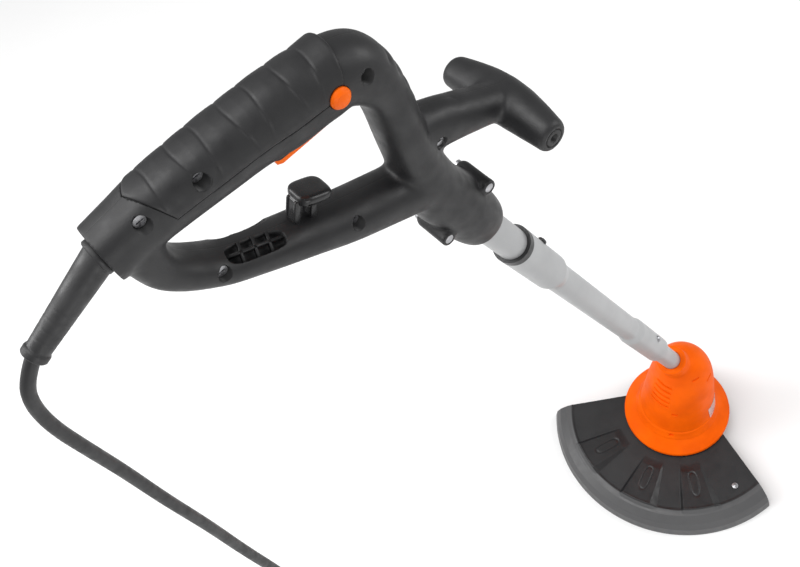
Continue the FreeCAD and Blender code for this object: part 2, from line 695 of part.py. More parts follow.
def snap_set(where, station, turn, socket, root, shoulder, leaf_half, leaf_low):
    """A button on a bent leaf spring."""
    top = f"{socket} / 2 + snap_height"
    frame = snap_frame(station, turn)
    turned("snap_button_" + where, [
        ("0", root), (shoulder, root), (shoulder, root + " + 1.8"),
        ("snap_dia / 2", root + " + 1.8"), ("snap_dia / 2", top + " - 1.6"),
        ("snap_dia / 2 - 1.2", top + " - 0.5"), ("0", top),
    ], frame)
    padded("snap_spring_" + where, "XZ_Plane", [[
        ("-7", root), ("-7", root + " - 0.5"), ("21.5", root + " - 0.5"), ("21.5", leaf_low + " + 0.5"),
        ("0", leaf_low + " + 0.5"), ("0", leaf_low), ("22", leaf_low), ("22", root),
    ]], leaf_half + " * 2", frame, both=True)


snap_set("upper", size(upper_snap), 0.0, "upper_socket_dia", "7.4", "4.7", "2.4", "-4.6")
snap_set("lower", size(lower_snap), LOWER_TURN, "lower_socket_dia", "5.8", "4.2", "1.9", "-3.3")
padded("motor_lead", "XY_Plane", [("circle", "0", "6.1", "2.1")], str(60 + AXIS_STATION - 19),
              shaft_frame(-60))

# --------------------------------------------------------------------------
# Head: housing, motor, spool, guard
# --------------------------------------------------------------------------
SKIRT = size("skirt_radius")
SKIRT_Z = size("skirt_height")
# height, forward shift, radius
BELL = [
    (0.0, 0.0, SKIRT), (5.0, 0.0, SKIRT - 2.0), (13.0, 0.0, SKIRT - 11.0), (22.0, 0.5, SKIRT - 18.0),
    (36.0, 2.0, SKIRT - 21.5), (62.0, 5.0, SKIRT - 24.5), (92.0, 8.0, SKIRT - 28.0),
    (116.0, 10.0, SKIRT - 33.0), (134.0, 9.0, SKIRT - 40.0), (147.0, 6.0, SKIRT - 49.5),
    (154.0, 3.0, SKIRT - 62.0),
]


def bell_solid(inset):
    loops = []
    for height, shift, radius in BELL:
        centre = RIM + Vector(shift, 0, SKIRT_Z + height)
        loops.append(ring_of_points(centre, Vector(1, 0, 0), LEFT, radius - inset, radius - inset, 2.0))
    return lofted(loops, ruled=inset > 0)


bell = bell_solid(0)
cavity = bell_solid(size("housing_wall"))
HOOD_RADIUS = size("lower_dia / 2") + 7.0
hood = rod(on_line(HOOD_MOUTH), ALONG, HOOD_RADIUS, 24.0)
columns = None
for step in range(4):
    angle = math.radians(45 + 90 * step)
    foot = RIM + Vector(50 * math.cos(angle), 50 * math.sin(angle), SKIRT_Z)
    column = rod(foot, UP, 4.5, 40.0)
    columns = column if columns is None else columns.fuse(column)
housing = bell.cut(cavity).fuse(hood).fuse(columns.common(bell))
housing = housing.cut(rod(on_line(HOOD_MOUTH - 2), ALONG, size("lower_dia / 2 + fit_gap"), 12.0))
housing = housing.cut(rod(on_line(HOOD_MOUTH), ALONG, size("lower_dia / 2 - tube_wall"), 40.0))
for step in range(4):
    angle = math.radians(45 + 90 * step)
    foot = RIM + Vector(50 * math.cos(angle), 50 * math.sin(angle), SKIRT_Z)
    housing = housing.cut(rod(foot, UP, 2.0, 14.0))
for step in range(5):
    height = SKIRT_Z + 46.0 + 8.0 * step
    slot = Part.makeBox(22.0, 22.0, 2.4, Vector(28.0, -11.0, -1.2))
    slot.Placement = Placement(RIM + UP * height, Rotation(UP, -168))
    housing = housing.cut(slot)
shaped("motor_housing", housing)
label_zone = Part.makeBox(26.0, 26.0, 24.0, Vector(28.0, -13.0, -12.0))
label_zone.Placement = Placement(RIM + UP * (SKIRT_Z + 40.0), Rotation(UP, -62))
shaped("blank_label", bell_solid(-0.5).cut(bell_solid(0)).common(label_zone))

base_plate = turned("motor_base", [
    ("6", "guard_deck"), ("60", "guard_deck"), ("60", "30"), ("15", "30"), ("15", "37"),
    ("11", "37"), ("11", "30"), ("6", "30"),
], head_frame())
screw_ring = pocketed(base_plate, "XY_Plane", [("circle", "50", "0", "2.2")], "200")
around(base_plate, screw_ring, 4)
base_plate.Placement = head_frame(0, 45)
CAN_TOP = "(37 + motor_length)"
BORE = "shaft_dia / 2 + fit_gap / 2"
motor_can = turned("motor_can", [
    ("motor_dia / 2 - 1.8", "30"), ("motor_dia / 2", "30"), ("motor_dia / 2", CAN_TOP),
    ("11.5", CAN_TOP), ("11.5", CAN_TOP + " + 6"), ("9.5", CAN_TOP + " + 6"),
    ("9.5", CAN_TOP + " - 0.5"), ("6", CAN_TOP + " - 0.5"), ("6", CAN_TOP + " - 2"),
    ("motor_dia / 2 - 1.8", CAN_TOP + " - 2"),
], head_frame())
field = []
for side in (1, -1):
    field.append([(x, str(side * float(y))) for x, y in (
        ("-11", "15.2"), ("-12.5", "13.2"), ("-15.3", "9.5"), ("-16.6", "9.6"), ("-12.6", "14.4"),
        ("-6", "18.2"), ("6", "18.2"), ("12.6", "14.4"), ("16.6", "9.6"), ("15.3", "9.5"),
        ("12.5", "13.2"), ("11", "15.2"), ("5", "16.3"), ("-5", "16.3"))])
padded("field_magnets", "XY_Plane", field, "motor_length - 22", head_frame(44))
turned("motor_shaft", [
    ("0", "12"), ("shaft_dia / 2", "12"), ("shaft_dia / 2", CAN_TOP + " + 17"), ("0", CAN_TOP + " + 17"),
], head_frame())
BEARINGS = (("lower_bearing", "30", "10.95"), ("upper_bearing", "36.5 + motor_length", "9.45"))
for name, base, outside in BEARINGS:
    turned(name, pipe(outside, BORE, base, base + " + 6"), head_frame())
armature = turned("armature", pipe("13.4", "shaft_dia / 2", "45", "45 + motor_length - 24"), head_frame())
winding_slot = pocketed(armature, "XY_Plane", [[
    ("11", "-1"), ("15", "-1"), ("15", "1"), ("11", "1"),
]], "300")
around(armature, winding_slot, 8)
turned("commutator", pipe("7", "shaft_dia / 2", "84", "92"), head_frame())
padded("carbon_brushes", "XY_Plane", [
    [("7.3", "-2.5"), ("19", "-2.5"), ("19", "2.5"), ("7.3", "2.5")],
    [("-19", "-2.5"), ("-7.3", "-2.5"), ("-7.3", "2.5"), ("-19", "2.5")],
], "5", head_frame(85.5))
fan = turned("cooling_fan", pipe("6", "shaft_dia / 2", "107.5", "115"), head_frame())
blade = add_pad(fan, "XZ_Plane", [[("5", "107.5"), ("19", "107.5"), ("19", "114"), ("5", "114")]], "1.2")
around(fan, blade, 8)

spool_cup = turned("spool_cup", [
    ("shaft_dia / 2", "20"), ("36.6", "20"), ("36.6", "6.5"), ("39", "6.5"), ("39", "22"),
    ("shaft_dia / 2", "22"),
], head_frame())
LINE_TURN = 205.0
pocketed(spool_cup, "YZ_Plane", [("circle", "0", "10", "2.15")], "60", both=False, reversed_way=True)
spool_cup.Placement = head_frame(0, LINE_TURN)
turned("spool_nut", pipe("8", "shaft_dia / 2", "22", "26.5"), head_frame())
turned("line_spool", [
    ("5", "6.5"), ("spool_dia / 2 - 2", "6.5"), ("spool_dia / 2 - 2", "8"), ("13", "8"), ("13", "13"),
    ("spool_dia / 2 - 2", "13"), ("spool_dia / 2 - 2", "14.5"), ("5", "14.5"),
], head_frame())
turned("wound_line", pipe("27", "13", "8", "13"), head_frame())
turned("bump_cap", [
    ("0", "1.5"), ("20", "1.5"), ("29", "3"), ("33", "6.5"), ("0", "6.5"),
], head_frame())
spring_path = Part.makeHelix(1.4, 4.2, 6.5)
flats = [math.radians(22.5 + 45 * step) for step in range(9)]
spring_ring = Part.makePolygon([
    Vector(6.5 + 0.62 * math.cos(turn), 0, 0.62 * math.sin(turn)) for turn in flats
])
spring = Part.Wire(spring_path.Edges).makePipeShell([spring_ring], True, True)
shaped("spool_spring", spring, head_frame(15.15))
line_place = Placement(RIM + UP * 10, Rotation(UP, LINE_TURN) * Rotation(LEFT, 90))
turned("line_eyelet", pipe("2.1", "line_dia / 2 + fit_gap", "35.6", "40"), line_place)
turned("cutting_line", [
    ("0", "35.6"), ("line_dia / 2", "35.6"), ("line_dia / 2", "guard_radius - 30.5"),
    ("0", "guard_radius - 30.5"),
], line_place)

# guard: a fan of deck with a sloping lip, screwed up under the motor base
GUARD_TURN = 19.0
DECK_LOW = "(guard_deck - guard_wall)"
guard = turned("guard", [
    ("12", DECK_LOW), ("guard_radius - 28", DECK_LOW), ("guard_radius - 20", DECK_LOW + " - 2"),
    ("guard_radius - 11", DECK_LOW + " - 8"), ("guard_radius - 5.6", "guard_deck * 0.4"),
    ("guard_radius - 2.8", "0"), ("guard_radius", "0"),
    ("guard_radius - 2.6", "guard_deck * 0.45"), ("guard_radius - 8", "guard_deck - 7"),
    ("guard_radius - 18", "guard_deck - 1.2"), ("guard_radius - 26", "guard_deck"),
    ("12", "guard_deck"),
], head_frame(0, GUARD_TURN))
pocketed(guard, "XY_Plane", [[
    ("64", "0"), ("45", "45"), ("0", "64"), ("-6", "64"), ("-113", "218"), ("218", "218"),
    ("218", "-218"), ("-113", "-218"), ("-6", "-64"), ("0", "-64"), ("45", "-45"),
]], "200")


def fan_patch(turn, inner, outer_reach, inner_half, outer_half):
    """Corners of a widening patch on the guard, its turn counted from the guard's middle."""
    angle = math.radians(turn)
    corners = []
    for radial, across in ((-inner, -inner_half), (-outer_reach, -outer_half),
                           (-outer_reach, outer_half), (-inner, inner_half)):
        corners.append((f"{radial * math.cos(angle) - across * math.sin(angle):.2f}",
                        f"{radial * math.sin(angle) + across * math.cos(angle):.2f}"))
    return corners


def guard_spot(radius, turn):
    """A sketch point of the guard from its radius and its turn about the motor axis."""
    angle = math.radians(turn - GUARD_TURN)
    return f"{radius * math.cos(angle):.3f}", f"{radius * math.sin(angle):.3f}"


for turn in (36.0, 0.0, -36.0):
    add_pad(guard, "XY_Plane", [fan_patch(turn, 80, 130, 7, 15)], "2", both=False,
            lift="guard_deck - 0.4")
guard_hole = pocketed(guard, "XY_Plane", [("circle", *guard_spot(50, 45), "2.2")], "100")
around(guard, guard_hole, 4)
CUTTER_TURN = -104.0
CUTTER_REACH = 127
pocketed(guard, "XY_Plane", [("circle", *guard_spot(CUTTER_REACH, CUTTER_TURN), "2.1")], "100")

guard_bolts = []
deck_under = size(DECK_LOW)
for step in range(4):
    angle = math.radians(45 + 90 * step)
    foot = RIM + Vector(50 * math.cos(angle), 50 * math.sin(angle), deck_under)
    head = rod(foot - UP * 2.4, UP, 4.0, 2.4)
    guard_bolts.append(head.fuse(rod(foot, UP, 1.95, SKIRT_Z + 13.5 - deck_under)))
shaped("guard_screws", Part.makeCompound(guard_bolts))

# line cutter: an angled steel blade under one end of the guard
cutter_place = head_frame(deck_under, CUTTER_TURN)
cutter = padded("line_cutter", "XZ_Plane", [[
    ("118", "0"), ("138", "0"), ("138", "-18"), ("136.8", "-18"), ("136.8", "-1.2"), ("118", "-1.2"),
]], "14", cutter_place, both=True)
pocketed(cutter, "XY_Plane", [("circle", str(CUTTER_REACH), "0", "2.1")], "10")
turned("cutter_screw", [
    ("0", "-3.2"), ("2", "-3.2"), ("2", "guard_wall"), ("3.8", "guard_wall"),
    ("3.8", "guard_wall + 1.8"), ("0", "guard_wall + 2.4"),
], Placement(cutter_place.multVec(Vector(CUTTER_REACH, 0, 0)), Rotation()))

# --------------------------------------------------------------------------
# Write out
# --------------------------------------------------------------------------
doc.recompute()
os.makedirs("parts", exist_ok=True)
for item in doc.Objects:
    if "Invalid" in item.State or "Error" in item.State:
        raise RuntimeError(f"{item.Label} failed: {item.State}")
for part in PARTS:
    if part.Shape.isNull() or not part.Shape.isValid():
        raise RuntimeError(f"{part.Label}: bad shape")
    print(f"{part.Label:28s} {part.Shape.Volume / 1000:9.2f} cm3  solids {len(part.Shape.Solids)}")
    part.Shape.exportStep(f"parts/{part.Label}.step")
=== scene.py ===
import math
import bpy
import bmesh
import numpy as np
from mathutils import Matrix, Vector


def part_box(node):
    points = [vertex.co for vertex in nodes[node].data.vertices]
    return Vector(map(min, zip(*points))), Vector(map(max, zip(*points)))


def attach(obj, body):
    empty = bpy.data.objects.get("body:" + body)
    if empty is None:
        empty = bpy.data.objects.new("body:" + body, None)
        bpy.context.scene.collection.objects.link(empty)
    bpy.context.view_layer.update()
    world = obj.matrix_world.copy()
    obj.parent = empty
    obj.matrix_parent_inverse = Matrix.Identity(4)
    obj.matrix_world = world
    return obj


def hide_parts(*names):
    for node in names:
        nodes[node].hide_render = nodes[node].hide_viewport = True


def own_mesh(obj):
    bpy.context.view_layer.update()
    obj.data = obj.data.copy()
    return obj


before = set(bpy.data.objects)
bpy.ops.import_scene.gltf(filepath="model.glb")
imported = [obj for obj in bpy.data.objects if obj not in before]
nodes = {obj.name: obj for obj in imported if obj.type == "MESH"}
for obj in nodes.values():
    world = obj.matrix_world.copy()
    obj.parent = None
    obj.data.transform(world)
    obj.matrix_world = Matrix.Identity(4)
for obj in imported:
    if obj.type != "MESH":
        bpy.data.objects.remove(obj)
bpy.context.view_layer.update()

# --------------------------------------------------------------------------
# Viewpoint, lights and floor: the trimmer is held over a pale floor, its
# guard level and just above it, in the light of large soft studio panels.
# --------------------------------------------------------------------------
FLOOR_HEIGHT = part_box("guard")[0].z - 0.0005


def turned_view(yaw, pitch, roll):
    """Camera turn from a heading, a downward tilt and a roll, in radians."""
    level_share = math.cos(pitch)
    ahead = Vector((level_share * math.cos(yaw), level_share * math.sin(yaw), -math.sin(pitch)))
    right = ahead.cross(Vector((0, 0, 1))).normalized()
    down = ahead.cross(right)
    level = right * math.cos(roll) + down * math.sin(roll)
    sunk = down * math.cos(roll) - right * math.sin(roll)
    return Matrix((level, -sunk, -ahead)).transposed().to_4x4()


eye = bpy.data.cameras.new("eye")
eye.sensor_width = 36.0
eye.lens = 41.0472
eye.clip_start = 0.01
camera = bpy.data.objects.new("eye", eye)
eye_place = Matrix.Translation((-0.05916, -0.32754, 0.31299))
camera.matrix_world = eye_place @ turned_view(1.2591, 0.9802, 0.4656)
bpy.context.scene.collection.objects.link(camera)
bpy.context.scene.camera = camera


def soft_panel(name, place, target, width, height, power):
    """A rectangular studio lamp at a place, turned to face a target."""
    lamp = bpy.data.lights.new(name, "AREA")
    lamp.shape = "RECTANGLE"
    lamp.size = width
    lamp.size_y = height
    lamp.energy = power
    holder = bpy.data.objects.new(name, lamp)
    aim = Vector(target) - Vector(place)
    holder.matrix_world = Matrix.Translation(place) @ aim.to_track_quat("-Z", "Y").to_matrix().to_4x4()
    bpy.context.scene.collection.objects.link(holder)


soft_panel("overhead_panel", (-0.5, 0.3, 2.0), (0.1, 0.0, -0.4), 1.6, 1.6, 42.0)
soft_panel("left_panel", (-1.3, 1.3, 0.9), (0.1, 0.0, -0.3), 1.0, 1.4, 26.0)
soft_panel("front_panel", (1.9, -0.9, 0.6), (0.2, 0.0, -0.5), 0.9, 1.4, 16.0)
soft_panel("low_panel", (-0.6, -1.8, -0.1), (0.1, 0.0, -0.4), 1.2, 0.8, 8.0)

world = bpy.data.worlds.new("studio")
world.use_nodes = True
world.node_tree.nodes["Background"].inputs["Color"].default_value = (1.0, 1.0, 1.0, 1.0)
world.node_tree.nodes["Background"].inputs["Strength"].default_value = 0.42
bpy.context.scene.world = world
bpy.context.scene.view_settings.view_transform = "Standard"


def new_material(name):
    """An empty surface and the handles on its tree and its shader."""
    material = bpy.data.materials.new(name)
    material.use_nodes = True
    tree = material.node_tree
    return material, tree, tree.nodes["Principled BSDF"]


def noise(tree, scale, detail):
    """Noise on the object's own coordinates, in metres."""
    place = tree.nodes.new("ShaderNodeTexCoord")
    cloud = tree.nodes.new("ShaderNodeTexNoise")
    cloud.inputs["Scale"].default_value = scale
    cloud.inputs["Detail"].default_value = detail
    tree.links.new(place.outputs["Object"], cloud.inputs["Vector"])
    return cloud.outputs["Fac"]


def between(tree, source, low, high, start=0.35, stop=0.65):
    """Carry a noise value to a range of plain numbers."""
    lift = tree.nodes.new("ShaderNodeMapRange")
    lift.inputs["From Min"].default_value = start
    lift.inputs["From Max"].default_value = stop
    lift.inputs["To Min"].default_value = low
    lift.inputs["To Max"].default_value = high
    tree.links.new(source, lift.inputs["Value"])
    return lift.outputs["Result"]


def blend_colours(tree, share, first, second):
    """Mix two plain colours by a share."""
    mix = tree.nodes.new("ShaderNodeMix")
    mix.data_type = "RGBA"
    mix.inputs["A"].default_value = (*first, 1.0)
    mix.inputs["B"].default_value = (*second, 1.0)
    tree.links.new(share, mix.inputs["Factor"])
    return mix.outputs["Result"]


def finish(name, dark, light, rough, grain, depth, mottle=60.0, metal=0.0, specular=0.5):
    """A moulded, painted or machined surface.

    Colour drifts between two tones over the mottle, roughness drifts over its
    range, and a fine noise of grain per metre is pressed in to the depth.
    """
    material, tree, shader = new_material(name)
    drift = between(tree, noise(tree, mottle, 4.0), 0.0, 1.0)
    tree.links.new(blend_colours(tree, drift, dark, light), shader.inputs["Base Color"])
    smear = between(tree, noise(tree, mottle * 3.1, 3.0), rough[0], rough[1])
    tree.links.new(smear, shader.inputs["Roughness"])
    bump = tree.nodes.new("ShaderNodeBump")
    bump.inputs["Strength"].default_value = 0.55
    bump.inputs["Distance"].default_value = depth
    tree.links.new(noise(tree, grain, 2.0), bump.inputs["Height"])
    tree.links.new(bump.outputs["Normal"], shader.inputs["Normal"])
    shader.inputs["Metallic"].default_value = metal
    shader.inputs["Specular IOR Level"].default_value = specular
    return material


def dressed(material, *names):
    """Give carried-over nodes their surface."""
    for name in names:
        for slot in nodes[name].material_slots:
            slot.material = material


def grid_mesh(name, points, around=False, along=False):
    """A surface through a grid of points; either way round may close on itself.

    Cell (i, j) joins points (i, j), (i, j + 1), (i + 1, j + 1) and (i + 1, j).
    Points that fall together, at poles and seams, are merged.
    """
    rows, columns = points.shape[:2]
    down = np.arange(rows if along else rows - 1)[:, None]
    across = np.arange(columns if around else columns - 1)[None, :]
    under = (down + 1) % rows
    beside = (across + 1) % columns
    cells = np.stack(np.broadcast_arrays(down * columns + across, down * columns + beside,
                                         under * columns + beside, under * columns + across), axis=-1)
    return solid_mesh(name, points.reshape(-1, 3), cells.reshape(-1, 4))


def solid_mesh(name, points, faces):
    """A smooth-shaded piece from points and faces.

    Doubles are merged and the faces are turned outwards.
    """
    mesh = bpy.data.meshes.new(name)
    mesh.from_pydata(np.asarray(points).tolist(), [], np.asarray(faces).tolist())
    shape = bmesh.new()
    shape.from_mesh(mesh)
    bmesh.ops.remove_doubles(shape, verts=shape.verts, dist=2e-6)
    bmesh.ops.dissolve_degenerate(shape, edges=shape.edges, dist=1e-7)
    bmesh.ops.recalc_face_normals(shape, faces=shape.faces)
    shape.to_mesh(mesh)
    shape.free()
    mesh.shade_smooth()
    piece = bpy.data.objects.new(name, mesh)
    bpy.context.scene.collection.objects.link(piece)
    return piece


floor_half = 4.0
corner_signs = np.array([[-1, -1], [1, -1], [1, 1], [-1, 1]])
floor_points = np.column_stack([corner_signs * floor_half, np.full(4, FLOOR_HEIGHT)])
floor = solid_mesh("studio_floor", floor_points, [[0, 1, 2, 3]])
paper = finish("floor_paper", (0.93, 0.93, 0.93), (0.95, 0.95, 0.95), (0.8, 0.9), 40.0, 0.0002,
               mottle=2.0, specular=0.1)
floor.data.materials.append(paper)

# --------------------------------------------------------------------------
# Supply cord: a short rubber-sheathed lead that leaves the boot, bends down
# under its own weight and hangs plumb to the plug that an extension takes.
# --------------------------------------------------------------------------
CORD_WIDTH = 0.008
BOOT_ROOT = Vector((-0.081, 0.0, -0.005))
BOOT_DROP = math.radians(23.0)
BOOT_LINE = Vector((-math.cos(BOOT_DROP), 0.0, -math.sin(BOOT_DROP)))
CORD_START = BOOT_ROOT + BOOT_LINE * 0.062
CORD_STEPS = [
    (0.0, 0.0), (-12.0, -10.0), (-19.9, -26.2), (-23.4, -50.9), (-23.1, -84.0), (-22.4, -124.0),
    (-23.0, -178.0), (-22.0, -240.0), (-22.8, -306.0), (-22.0, -374.0), (-22.4, -444.0),
]
rubber_sheath = finish("rubber_sheath", (0.014, 0.014, 0.015), (0.024, 0.024, 0.025),
                       (0.42, 0.6), 1800.0, 0.00012, mottle=45.0)
cord_curve = bpy.data.curves.new("supply_cord_line", "CURVE")
cord_curve.dimensions = "3D"
cord_curve.bevel_depth = CORD_WIDTH / 2
cord_curve.bevel_resolution = 8
cord_curve.resolution_u = 16
cord_curve.use_fill_caps = True
line = cord_curve.splines.new("NURBS")
line.points.add(len(CORD_STEPS) - 1)
for point, (x, z) in zip(line.points, CORD_STEPS):
    point.co = (CORD_START.x + x / 1000, 0.0, CORD_START.z + z / 1000, 1.0)
line.order_u = 3
line.use_endpoint_u = True
supply_cord = bpy.data.objects.new("supply_cord_line", cord_curve)
bpy.context.scene.collection.objects.link(supply_cord)
cord_curve.materials.append(rubber_sheath)
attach(supply_cord, "frame")
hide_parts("supply_cord")

# --------------------------------------------------------------------------
# Handle: two mirror shells of glass-filled nylon, moulded with a fine spark
# grain, closed by recessed screws, with a cross bar for the front hand and a
# collar that clamps the shaft.
# --------------------------------------------------------------------------
MM = 0.001
HANDLE_CELL = 0.00105
HOOK_CELL = 0.00042
HOUSING_CELL = 0.0011
NOSE = np.array([122.0, 0.0, -215.0])
SHAFT_SLOPE = math.radians(70.0)
ALONG = np.array([math.cos(SHAFT_SLOPE), 0.0, -math.sin(SHAFT_SLOPE)])
ACROSS = np.array([math.sin(SHAFT_SLOPE), 0.0, math.cos(SHAFT_SLOPE)])
SIDEWAYS = np.array([0.0, 1.0, 0.0])
UPWARDS = np.array([0.0, 0.0, 1.0])


def through(rows, count):
    """Rows of values on a Catmull-Rom curve through the given ones, at even steps."""
    rows = np.asarray(rows, float)
    fringed = np.vstack([2 * rows[0] - rows[1], rows, 2 * rows[-1] - rows[-2]])
    place = np.linspace(0, len(rows) - 1, count)
    step = np.minimum(place.astype(int), len(rows) - 2)
    t = (place - step)[:, None]
    a, b, c, d = (fringed[step + k] for k in range(4))
    return 0.5 * (2 * b + (c - a) * t + (2 * a - 5 * b + 4 * c - d) * t ** 2
                  + (3 * b - a - 3 * c + d) * t ** 3)


def superellipse(angle, power):
    """Cosine and sine with their sizes raised to 2 / power, which squares a circle up."""
    cosine, sine = np.cos(angle), np.sin(angle)
    return np.sign(cosine) * abs(cosine) ** (2 / power), np.sign(sine) * abs(sine) ** (2 / power)


def limb_grid(rows, count, columns, power=2.25):
    """Rings of a bent limb, from rows of x, z, heading, depth and width.

    A ring is centre + normal x depth x cosine + left x width x sine.
    """
    x, z, heading, depth, width = through(rows, count).T
    normal = np.stack([-np.sin(np.radians(heading)), 0 * x, np.cos(np.radians(heading))], -1)
    high, wide = superellipse(np.linspace(0, 2 * np.pi, columns, endpoint=False), power)
    centre = np.stack([x, 0 * x, z], -1)
    return (centre[:, None] + normal[:, None] * (depth[:, None] * high)[..., None]
            + SIDEWAYS * (width[:, None] * wide)[..., None])


def barrel_grid(rows, axis, first, second, columns, power=2.0):
    """Rings of rows (along, shift first, shift second, radius) about an axis from the origin."""
    along, lift, side, radius = np.asarray(rows, float).T
    high, wide = superellipse(np.linspace(0, 2 * np.pi, columns, endpoint=False), power)
    centre = along[:, None] * axis + lift[:, None] * first + side[:, None] * second
    return centre[:, None] + radius[:, None, None] * (high[:, None] * first + wide[:, None] * second)


def closed(grid):
    """Close both ends of a tube of rings onto their middle points."""
    ends = [np.broadcast_to(ring.mean(0), ring.shape) for ring in (grid[0], grid[-1])]
    return np.concatenate([ends[0][None], grid, ends[1][None]])


def block_grid(centre, half, turn=0.0, squareness=6.0, count=14, columns=40):
    """A cushion-edged block: a superellipse in two directions, turned about Y."""
    lift = np.linspace(-np.pi / 2, np.pi / 2, count)
    ring, rise = superellipse(lift, squareness)
    east, north = superellipse(np.linspace(0, 2 * np.pi, columns, endpoint=False), squareness)
    block = np.stack([ring[:, None] * east * half[0], ring[:, None] * north * half[1],
                      np.broadcast_to(rise[:, None], (count, columns)) * half[2]], -1)
    swing = np.array([[math.cos(turn), 0, math.sin(turn)], [0, 1, 0], [-math.sin(turn), 0, math.cos(turn)]])
    return closed(block @ swing.T + np.asarray(centre, float))


def fused(name, grids, voxel):
    """Rebuild overlapping closed grids as one skin of even small cells."""
    piece = merged_grids(name, grids)
    remesh = piece.modifiers.new("skin", "REMESH")
    remesh.mode = "VOXEL"
    remesh.voxel_size = voxel
    remesh.use_smooth_shade = True
    return settled(piece)


def merged_grids(name, grids):
    """One object of several closed grids, each (rows, columns, 3) in millimetres."""
    points, faces, start = [], [], 0
    for grid in grids:
        rows, columns = grid.shape[:2]
        down = np.arange(rows - 1)[:, None]
        across = np.arange(columns)[None, :]
        beside = (across + 1) % columns
        under = down + 1
        cells = np.stack(np.broadcast_arrays(down * columns + across, down * columns + beside,
                                             under * columns + beside, under * columns + across), -1)
        points.append(grid.reshape(-1, 3) * MM)
        faces.append(cells.reshape(-1, 4) + start)
        start += rows * columns
    return solid_mesh(name, np.concatenate(points), np.concatenate(faces))


def settled(piece):
    """Apply a piece's modifiers to its mesh."""
    done = bpy.data.meshes.new_from_object(piece.evaluated_get(bpy.context.evaluated_depsgraph_get()))
    old = piece.data
    piece.modifiers.clear()
    piece.data = done
    bpy.data.meshes.remove(old)
    return piece


def points_of(piece):
    """The piece's points as an array, in millimetres."""
    spots = np.empty(len(piece.data.vertices) * 3)
    piece.data.vertices.foreach_get("co", spots)
    return spots.reshape(-1, 3) / MM


def normals_of(piece):
    """The piece's point normals as an array."""
    facing = np.empty(len(piece.data.vertices) * 3)
    piece.data.vertex_normals.foreach_get("vector", facing)
    return facing.reshape(-1, 3)


def move_points(piece, spots):
    """Put an array of points, in millimetres, back into the mesh."""
    piece.data.vertices.foreach_set("co", (spots * MM).ravel())
    piece.data.update()


def relaxed(piece, share, rounds):
    """Smooth the skin by a share from 0 to 1 for each point, over some rounds."""
    group = piece.vertex_groups.new(name="ease")
    steps = np.round(np.clip(share, 0, 1) * 10).astype(int)
    for step in range(1, 11):
        chosen = np.nonzero(steps == step)[0]
        if len(chosen):
            group.add(chosen.tolist(), step / 10, "REPLACE")
    ease = piece.modifiers.new("ease", "SMOOTH")
    ease.factor = 0.5
    ease.iterations = rounds
    ease.vertex_group = "ease"
    settled(piece)
    piece.vertex_groups.clear()
    return piece


def clad(piece, material, slot, *replaced):
    """Give a frame piece its surface, hang it on the frame and hide the nodes it stands for; the slot is
    not used.
    """
    piece.data.materials.clear()
    piece.data.materials.append(material)
    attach(piece, "frame")
    if replaced:
        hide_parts(*replaced)


def near(spots, centre, reach):
    """One at a centre, falling smoothly to nothing at the reach."""
    away = np.linalg.norm(spots - np.asarray(centre, float), axis=1) / reach
    return np.clip(1 - away, 0, 1) ** 0.5


def carved(piece, grids):
    """Cut closed grids, in millimetres, out of a piece."""
    cutter = merged_grids("cutter", grids)
    cut = piece.modifiers.new("cut", "BOOLEAN")
    cut.operation = "DIFFERENCE"
    cut.object = cutter
    cut.solver = "MANIFOLD"
    settled(piece)
    bpy.data.objects.remove(cutter)
    return piece


def plug_grid(start, axis, radius, length, columns=40):
    """A plain closed cylinder as a grid, from its start along its axis."""
    axis = np.asarray(axis, float)
    first = np.cross(axis, UPWARDS if abs(axis[2]) < 0.9 else ACROSS)
    first /= np.linalg.norm(first)
    second = np.cross(axis, first)
    rows = [(0, 0, 0, radius), (length, 0, 0, radius)]
    return closed(barrel_grid(rows, axis, first, second, columns) + np.asarray(start, float))


LIMB = [
    (-81.0, -5.0, 0, 16.0, 16.0), (-62.0, -3.0, 2, 16.5, 16.8), (-46.0, -1.5, 0, 17.2, 17.4),
    (-10.0, -2.0, -1, 18.6, 18.6), (10.0, -3.0, -3, 19.5, 18.6), (30.0, -5.5, -3, 21.8, 18.6),
    (54.0, -7.5, -10, 20.8, 18.6), (74.5, -15.0, -48, 19.0, 18.6), (86.0, -42.0, -86, 14.0, 18.2),
    (88.0, -88.0, -88, 14.4, 18.6),
]
COLLAR = [(-84.0, 19.4), (-57.0, 20.8), (-33.0, 21.2), (-17.0, 19.8), (-9.0, 17.6), (-6.5, 15.4)]
ARM = [
    (-66.0, -12.0, -86, 14.0, 15.0), (-63.5, -37.0, -58, 11.3, 15.3), (-43.0, -61.0, -33, 10.3, 15.6),
    (-20.0, -75.5, -29, 11.0, 16.2), (10.0, -91.5, -27, 12.6, 17.0), (38.0, -105.5, -24, 14.5, 18.0),
    (88.0, -127.0, -24, 17.0, 18.4),
]
STEM = [
    (88.0, -84.0, -27, 17.5, 15.0), (112.0, -94.0, -27, 15.8, 14.0), (134.0, -104.5, -27, 13.2, 13.6),
    (161.0, -118.0, -27, 11.6, 13.0),
]
for station, radius in COLLAR:
    centre = NOSE + ALONG * station
    LIMB.append((centre[0], centre[2], -70.0, radius, radius))
CLAMP_MIDDLE = NOSE + ALONG * -50.0
CLAMP_SCREW_OFFSET = 21.0
TEE_CENTRE = np.array([161.5, 0.0, -120.0])
TEE_HALF = 46.0
tee_share = np.linspace(-1, 1, 61)
tee_swell = np.interp(abs(tee_share), [0, 0.3, 0.62, 0.95, 1.0], [15.2, 14.5, 12.7, 10.6, 8.9])
tee_rows = np.stack([tee_share * TEE_HALF, 0 * tee_share, 0 * tee_share, tee_swell], -1)
tee_grid = barrel_grid(tee_rows, SIDEWAYS, UPWARDS, np.array([1.0, 0, 0]), 64)
tee_bow = np.stack([2 * tee_share ** 2, 0 * tee_share, 1.5 * tee_share ** 2], -1)
